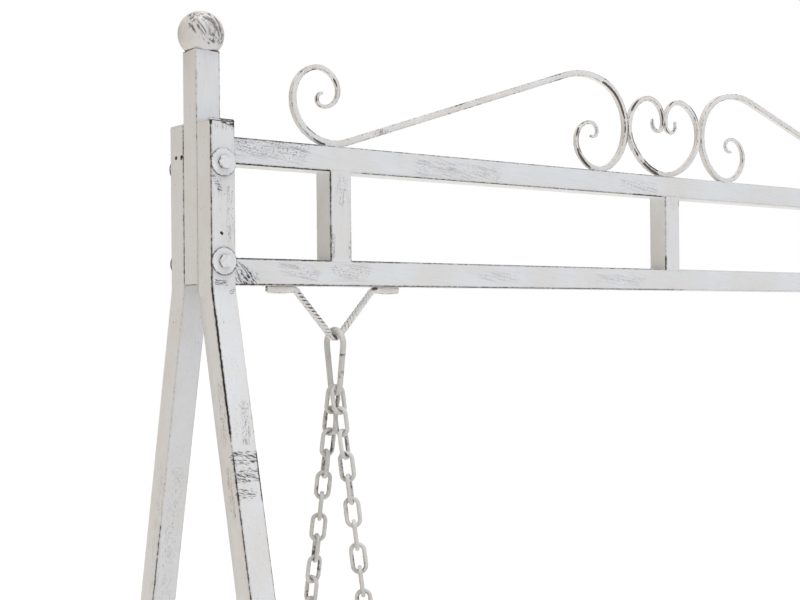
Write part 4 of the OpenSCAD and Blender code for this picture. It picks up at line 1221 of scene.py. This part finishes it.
back = {"foot": 163.416, "rake": 12.0, "length": 474.5,
        "low": 70.0, "middle": 285.0, "top": 450.0,
        "bars": 13, "bar": 8.0, "barEdge": 1.2, "barFoot": 82.5, "barRun": 190.0}
rake = math.radians(back["rake"])
leaned = Matrix.Translation(Vector((0, back["foot"], seat["top"]))) @ Matrix.Rotation(-rake, 4, "X")
for side, word in sides:
    tube = tubeAlong("backPost" + word, tubes["small"], back["length"] + tubes["small"],
                     (side * seat["x"], 0, -tubes["small"]), upright, leaned)
    cut(tube, (0, 0, seat["top"] / 1000), (0, 0, -1))
    dress(tube, tubePaint, "swing", "back_post_" + word.lower())
for level, name, node in (("low", "backLowRail", "back_bottom_rail"),
                          ("middle", "backMiddleRail", "back_middle_rail"),
                          ("top", "backTopRail", "back_top_rail")):
    tube = tubeAlong(name, tubes["small"], 2 * inner, (-inner, 0, back[level]), alongX, leaned)
    dress(tube, railPaint, "swing", node)
barModel = drawBar("backBar", [(0, 0, 90, back["bar"]), (0, back["barRun"], 90, back["bar"])],
                   back["barEdge"])
smooth(barModel)
barPitch = 2 * inner / (back["bars"] + 1)
bars = [put(barModel, "backBar", (k * barPitch - inner, 0, back["barFoot"]), upright, leaned)
        for k in range(1, back["bars"] + 1)]
dress(joined(bars, "backBars"), barPaint, "swing", "back_bars")
ornament("back", "swing", (0, 0, back["middle"] + tubes["small"] / 2), leaned)
discard(barModel, heartModel)

# ---- arms ----

arm = {"top": 630.0, "reach": 60.0, "length": 480.0, "post": -179.399, "plate": 3.0,
       "curl": [[46, 100], [30, 100], [17, 110], [8, 120]],
       "side": [[36, 70], [24, 90], [14, 110], [7, 150]],
       "sideRun": 168.743, "sideRise": 62, "sideReach": 110.0}
armFront = arm["post"] - arm["reach"]
armZ = arm["top"] - tubes["small"] / 2
curlStations = drawnDown(pathOf(arm["curl"], 180), scroll["bar"], scroll["tip"], scroll["reach"])
curlModel = drawBar("armCurl", blunt(curlStations), scroll["corner"])
smooth(curlModel)
plateModel = capModel("armPlate", tubes["small"])
sideStations = drawnDown(doubleCurl(arm["side"], arm["side"], arm["sideRun"], arm["sideRise"]),
                         scroll["bar"], scroll["tip"], arm["sideReach"], True)
middle = (sideStations[0][0] + sideStations[-1][0]) / 2
sideStations = shifted(sideStations, -middle, scroll["clear"] - lowest(sideStations))
sideModel = drawBar("sideScroll", blunt(sideStations, True), scroll["corner"])
smooth(sideModel)
halfCut = tubes["small"] / 2 / math.cos(rake)
bay = (arm["post"] + tubes["small"] / 2 + back["foot"] - halfCut) / 2
curls, tubeCaps = [], []
for side, word in sides:
    x, low = side * seat["x"], word.lower()
    tube = tubeAlong("arm" + word, tubes["small"], arm["length"], (x, armFront, armZ), alongY)
    face = leaned @ Vector((0, -tubes["small"] / 2, 0)) / 1000
    cut(tube, face, leaned.to_3x3() @ Vector((0, 1, 0)))
    dress(tube, deepPaint, "swing", "arm_" + low)
    tube = tubeAlong("armPost" + word, tubes["small"], arm["top"] - tubes["small"] - seat["top"],
                     (x, arm["post"], seat["top"]), upright)
    dress(tube, tubePaint, "swing", "arm_post_" + low)
    curls.append(put(curlModel, "curl", (x, armFront - arm["plate"], arm["top"] - scroll["bar"]),
                     (0, 0, 90)))
    curls.append(put(plateModel, "plate", (x, armFront, armZ), (90, 0, 0)))
    dress(put(sideModel, "sideScroll" + word, (x, bay, seat["top"]), (0, 0, 90)),
          barPaint, "swing", "side_scroll_" + low)
    tubeCaps.append(put(smallCap, "cap", (x, seat["back"], railZ), (-90, 0, 0)))
    tubeCaps.append(put(smallCap, "cap", (x, seat["front"], railZ), (90, 0, 0)))
    tubeCaps.append(put(smallCap, "cap", (x, 0, back["length"]), upright, leaned))
dress(joined(curls, "armCurls"), barPaint, "swing", "arm_curls")
dress(joined(tubeCaps, "seatTubeCaps"), tubePaint, "swing", "seat_tube_caps")
discard(curlModel, plateModel, sideModel, bigCap, smallCap)
print("seat is built")

# ---- floor and light ----

studio = {"fill": 0.1, "radius": 60.0, "shades": ("#F9F8F6", "#FAF9F7"), "mottle": 1 / 3}
floor = add(bpy.ops.mesh.primitive_circle_add, vertices=64, radius=studio["radius"],
            fill_type="NGON")
floor.name = "floor"
floorPaint = bpy.data.materials.new("matt studio floor")
graph = Graph(floorPaint)
tone = graph.mix(graph.noise(graph.spot(), studio["mottle"], 2.0), *map(colour, studio["shades"]))
surface = graph.add("BsdfPrincipled", {"Base Color": tone, "Roughness": 0.9})[0]
graph.add("OutputMaterial", {0: surface})
floor.data.materials.append(floorPaint)

# a broad light from above, a cool one from the front, a warm dim one from the left
lights = (
    {"name": "topLight", "power": 3.0, "shade": "#FFFFFF", "softness": 50.0, "turn": (9, 0)},
    {"name": "frontLight", "power": 0.76, "shade": "#D9E6FF", "softness": 70.0, "turn": (70, 0)},
    {"name": "leftLight", "power": 0.42, "shade": "#FFD796", "softness": 70.0, "turn": (75, -90)},
)
for light in lights:
    lamp = bpy.data.objects.new(light["name"], bpy.data.lights.new(light["name"], "SUN"))
    lamp.data.energy = light["power"]
    lamp.data.color = colour(light["shade"])[:3]
    lamp.data.angle = math.radians(light["softness"])
    tip, heading = light["turn"]
    lamp.rotation_euler = (math.radians(tip), 0, math.radians(heading))
    scene.collection.objects.link(lamp)

# the camera sees plain white, and the pieces get a dim fill
scene.world = bpy.data.worlds.new("studio")
graph = Graph(scene.world)
seen = graph.add("LightPath", {})["Is Camera Ray"]
fill, plain = [graph.add("Background", {"Color": colour("#FFFFFF"), "Strength": strength})[0]
               for strength in (studio["fill"], 1.0)]
graph.add("OutputWorld", {0: graph.add("MixShader", {0: seen, 1: fill, 2: plain})[0]})
scene.view_settings.view_transform = "Standard"
print("light is set")
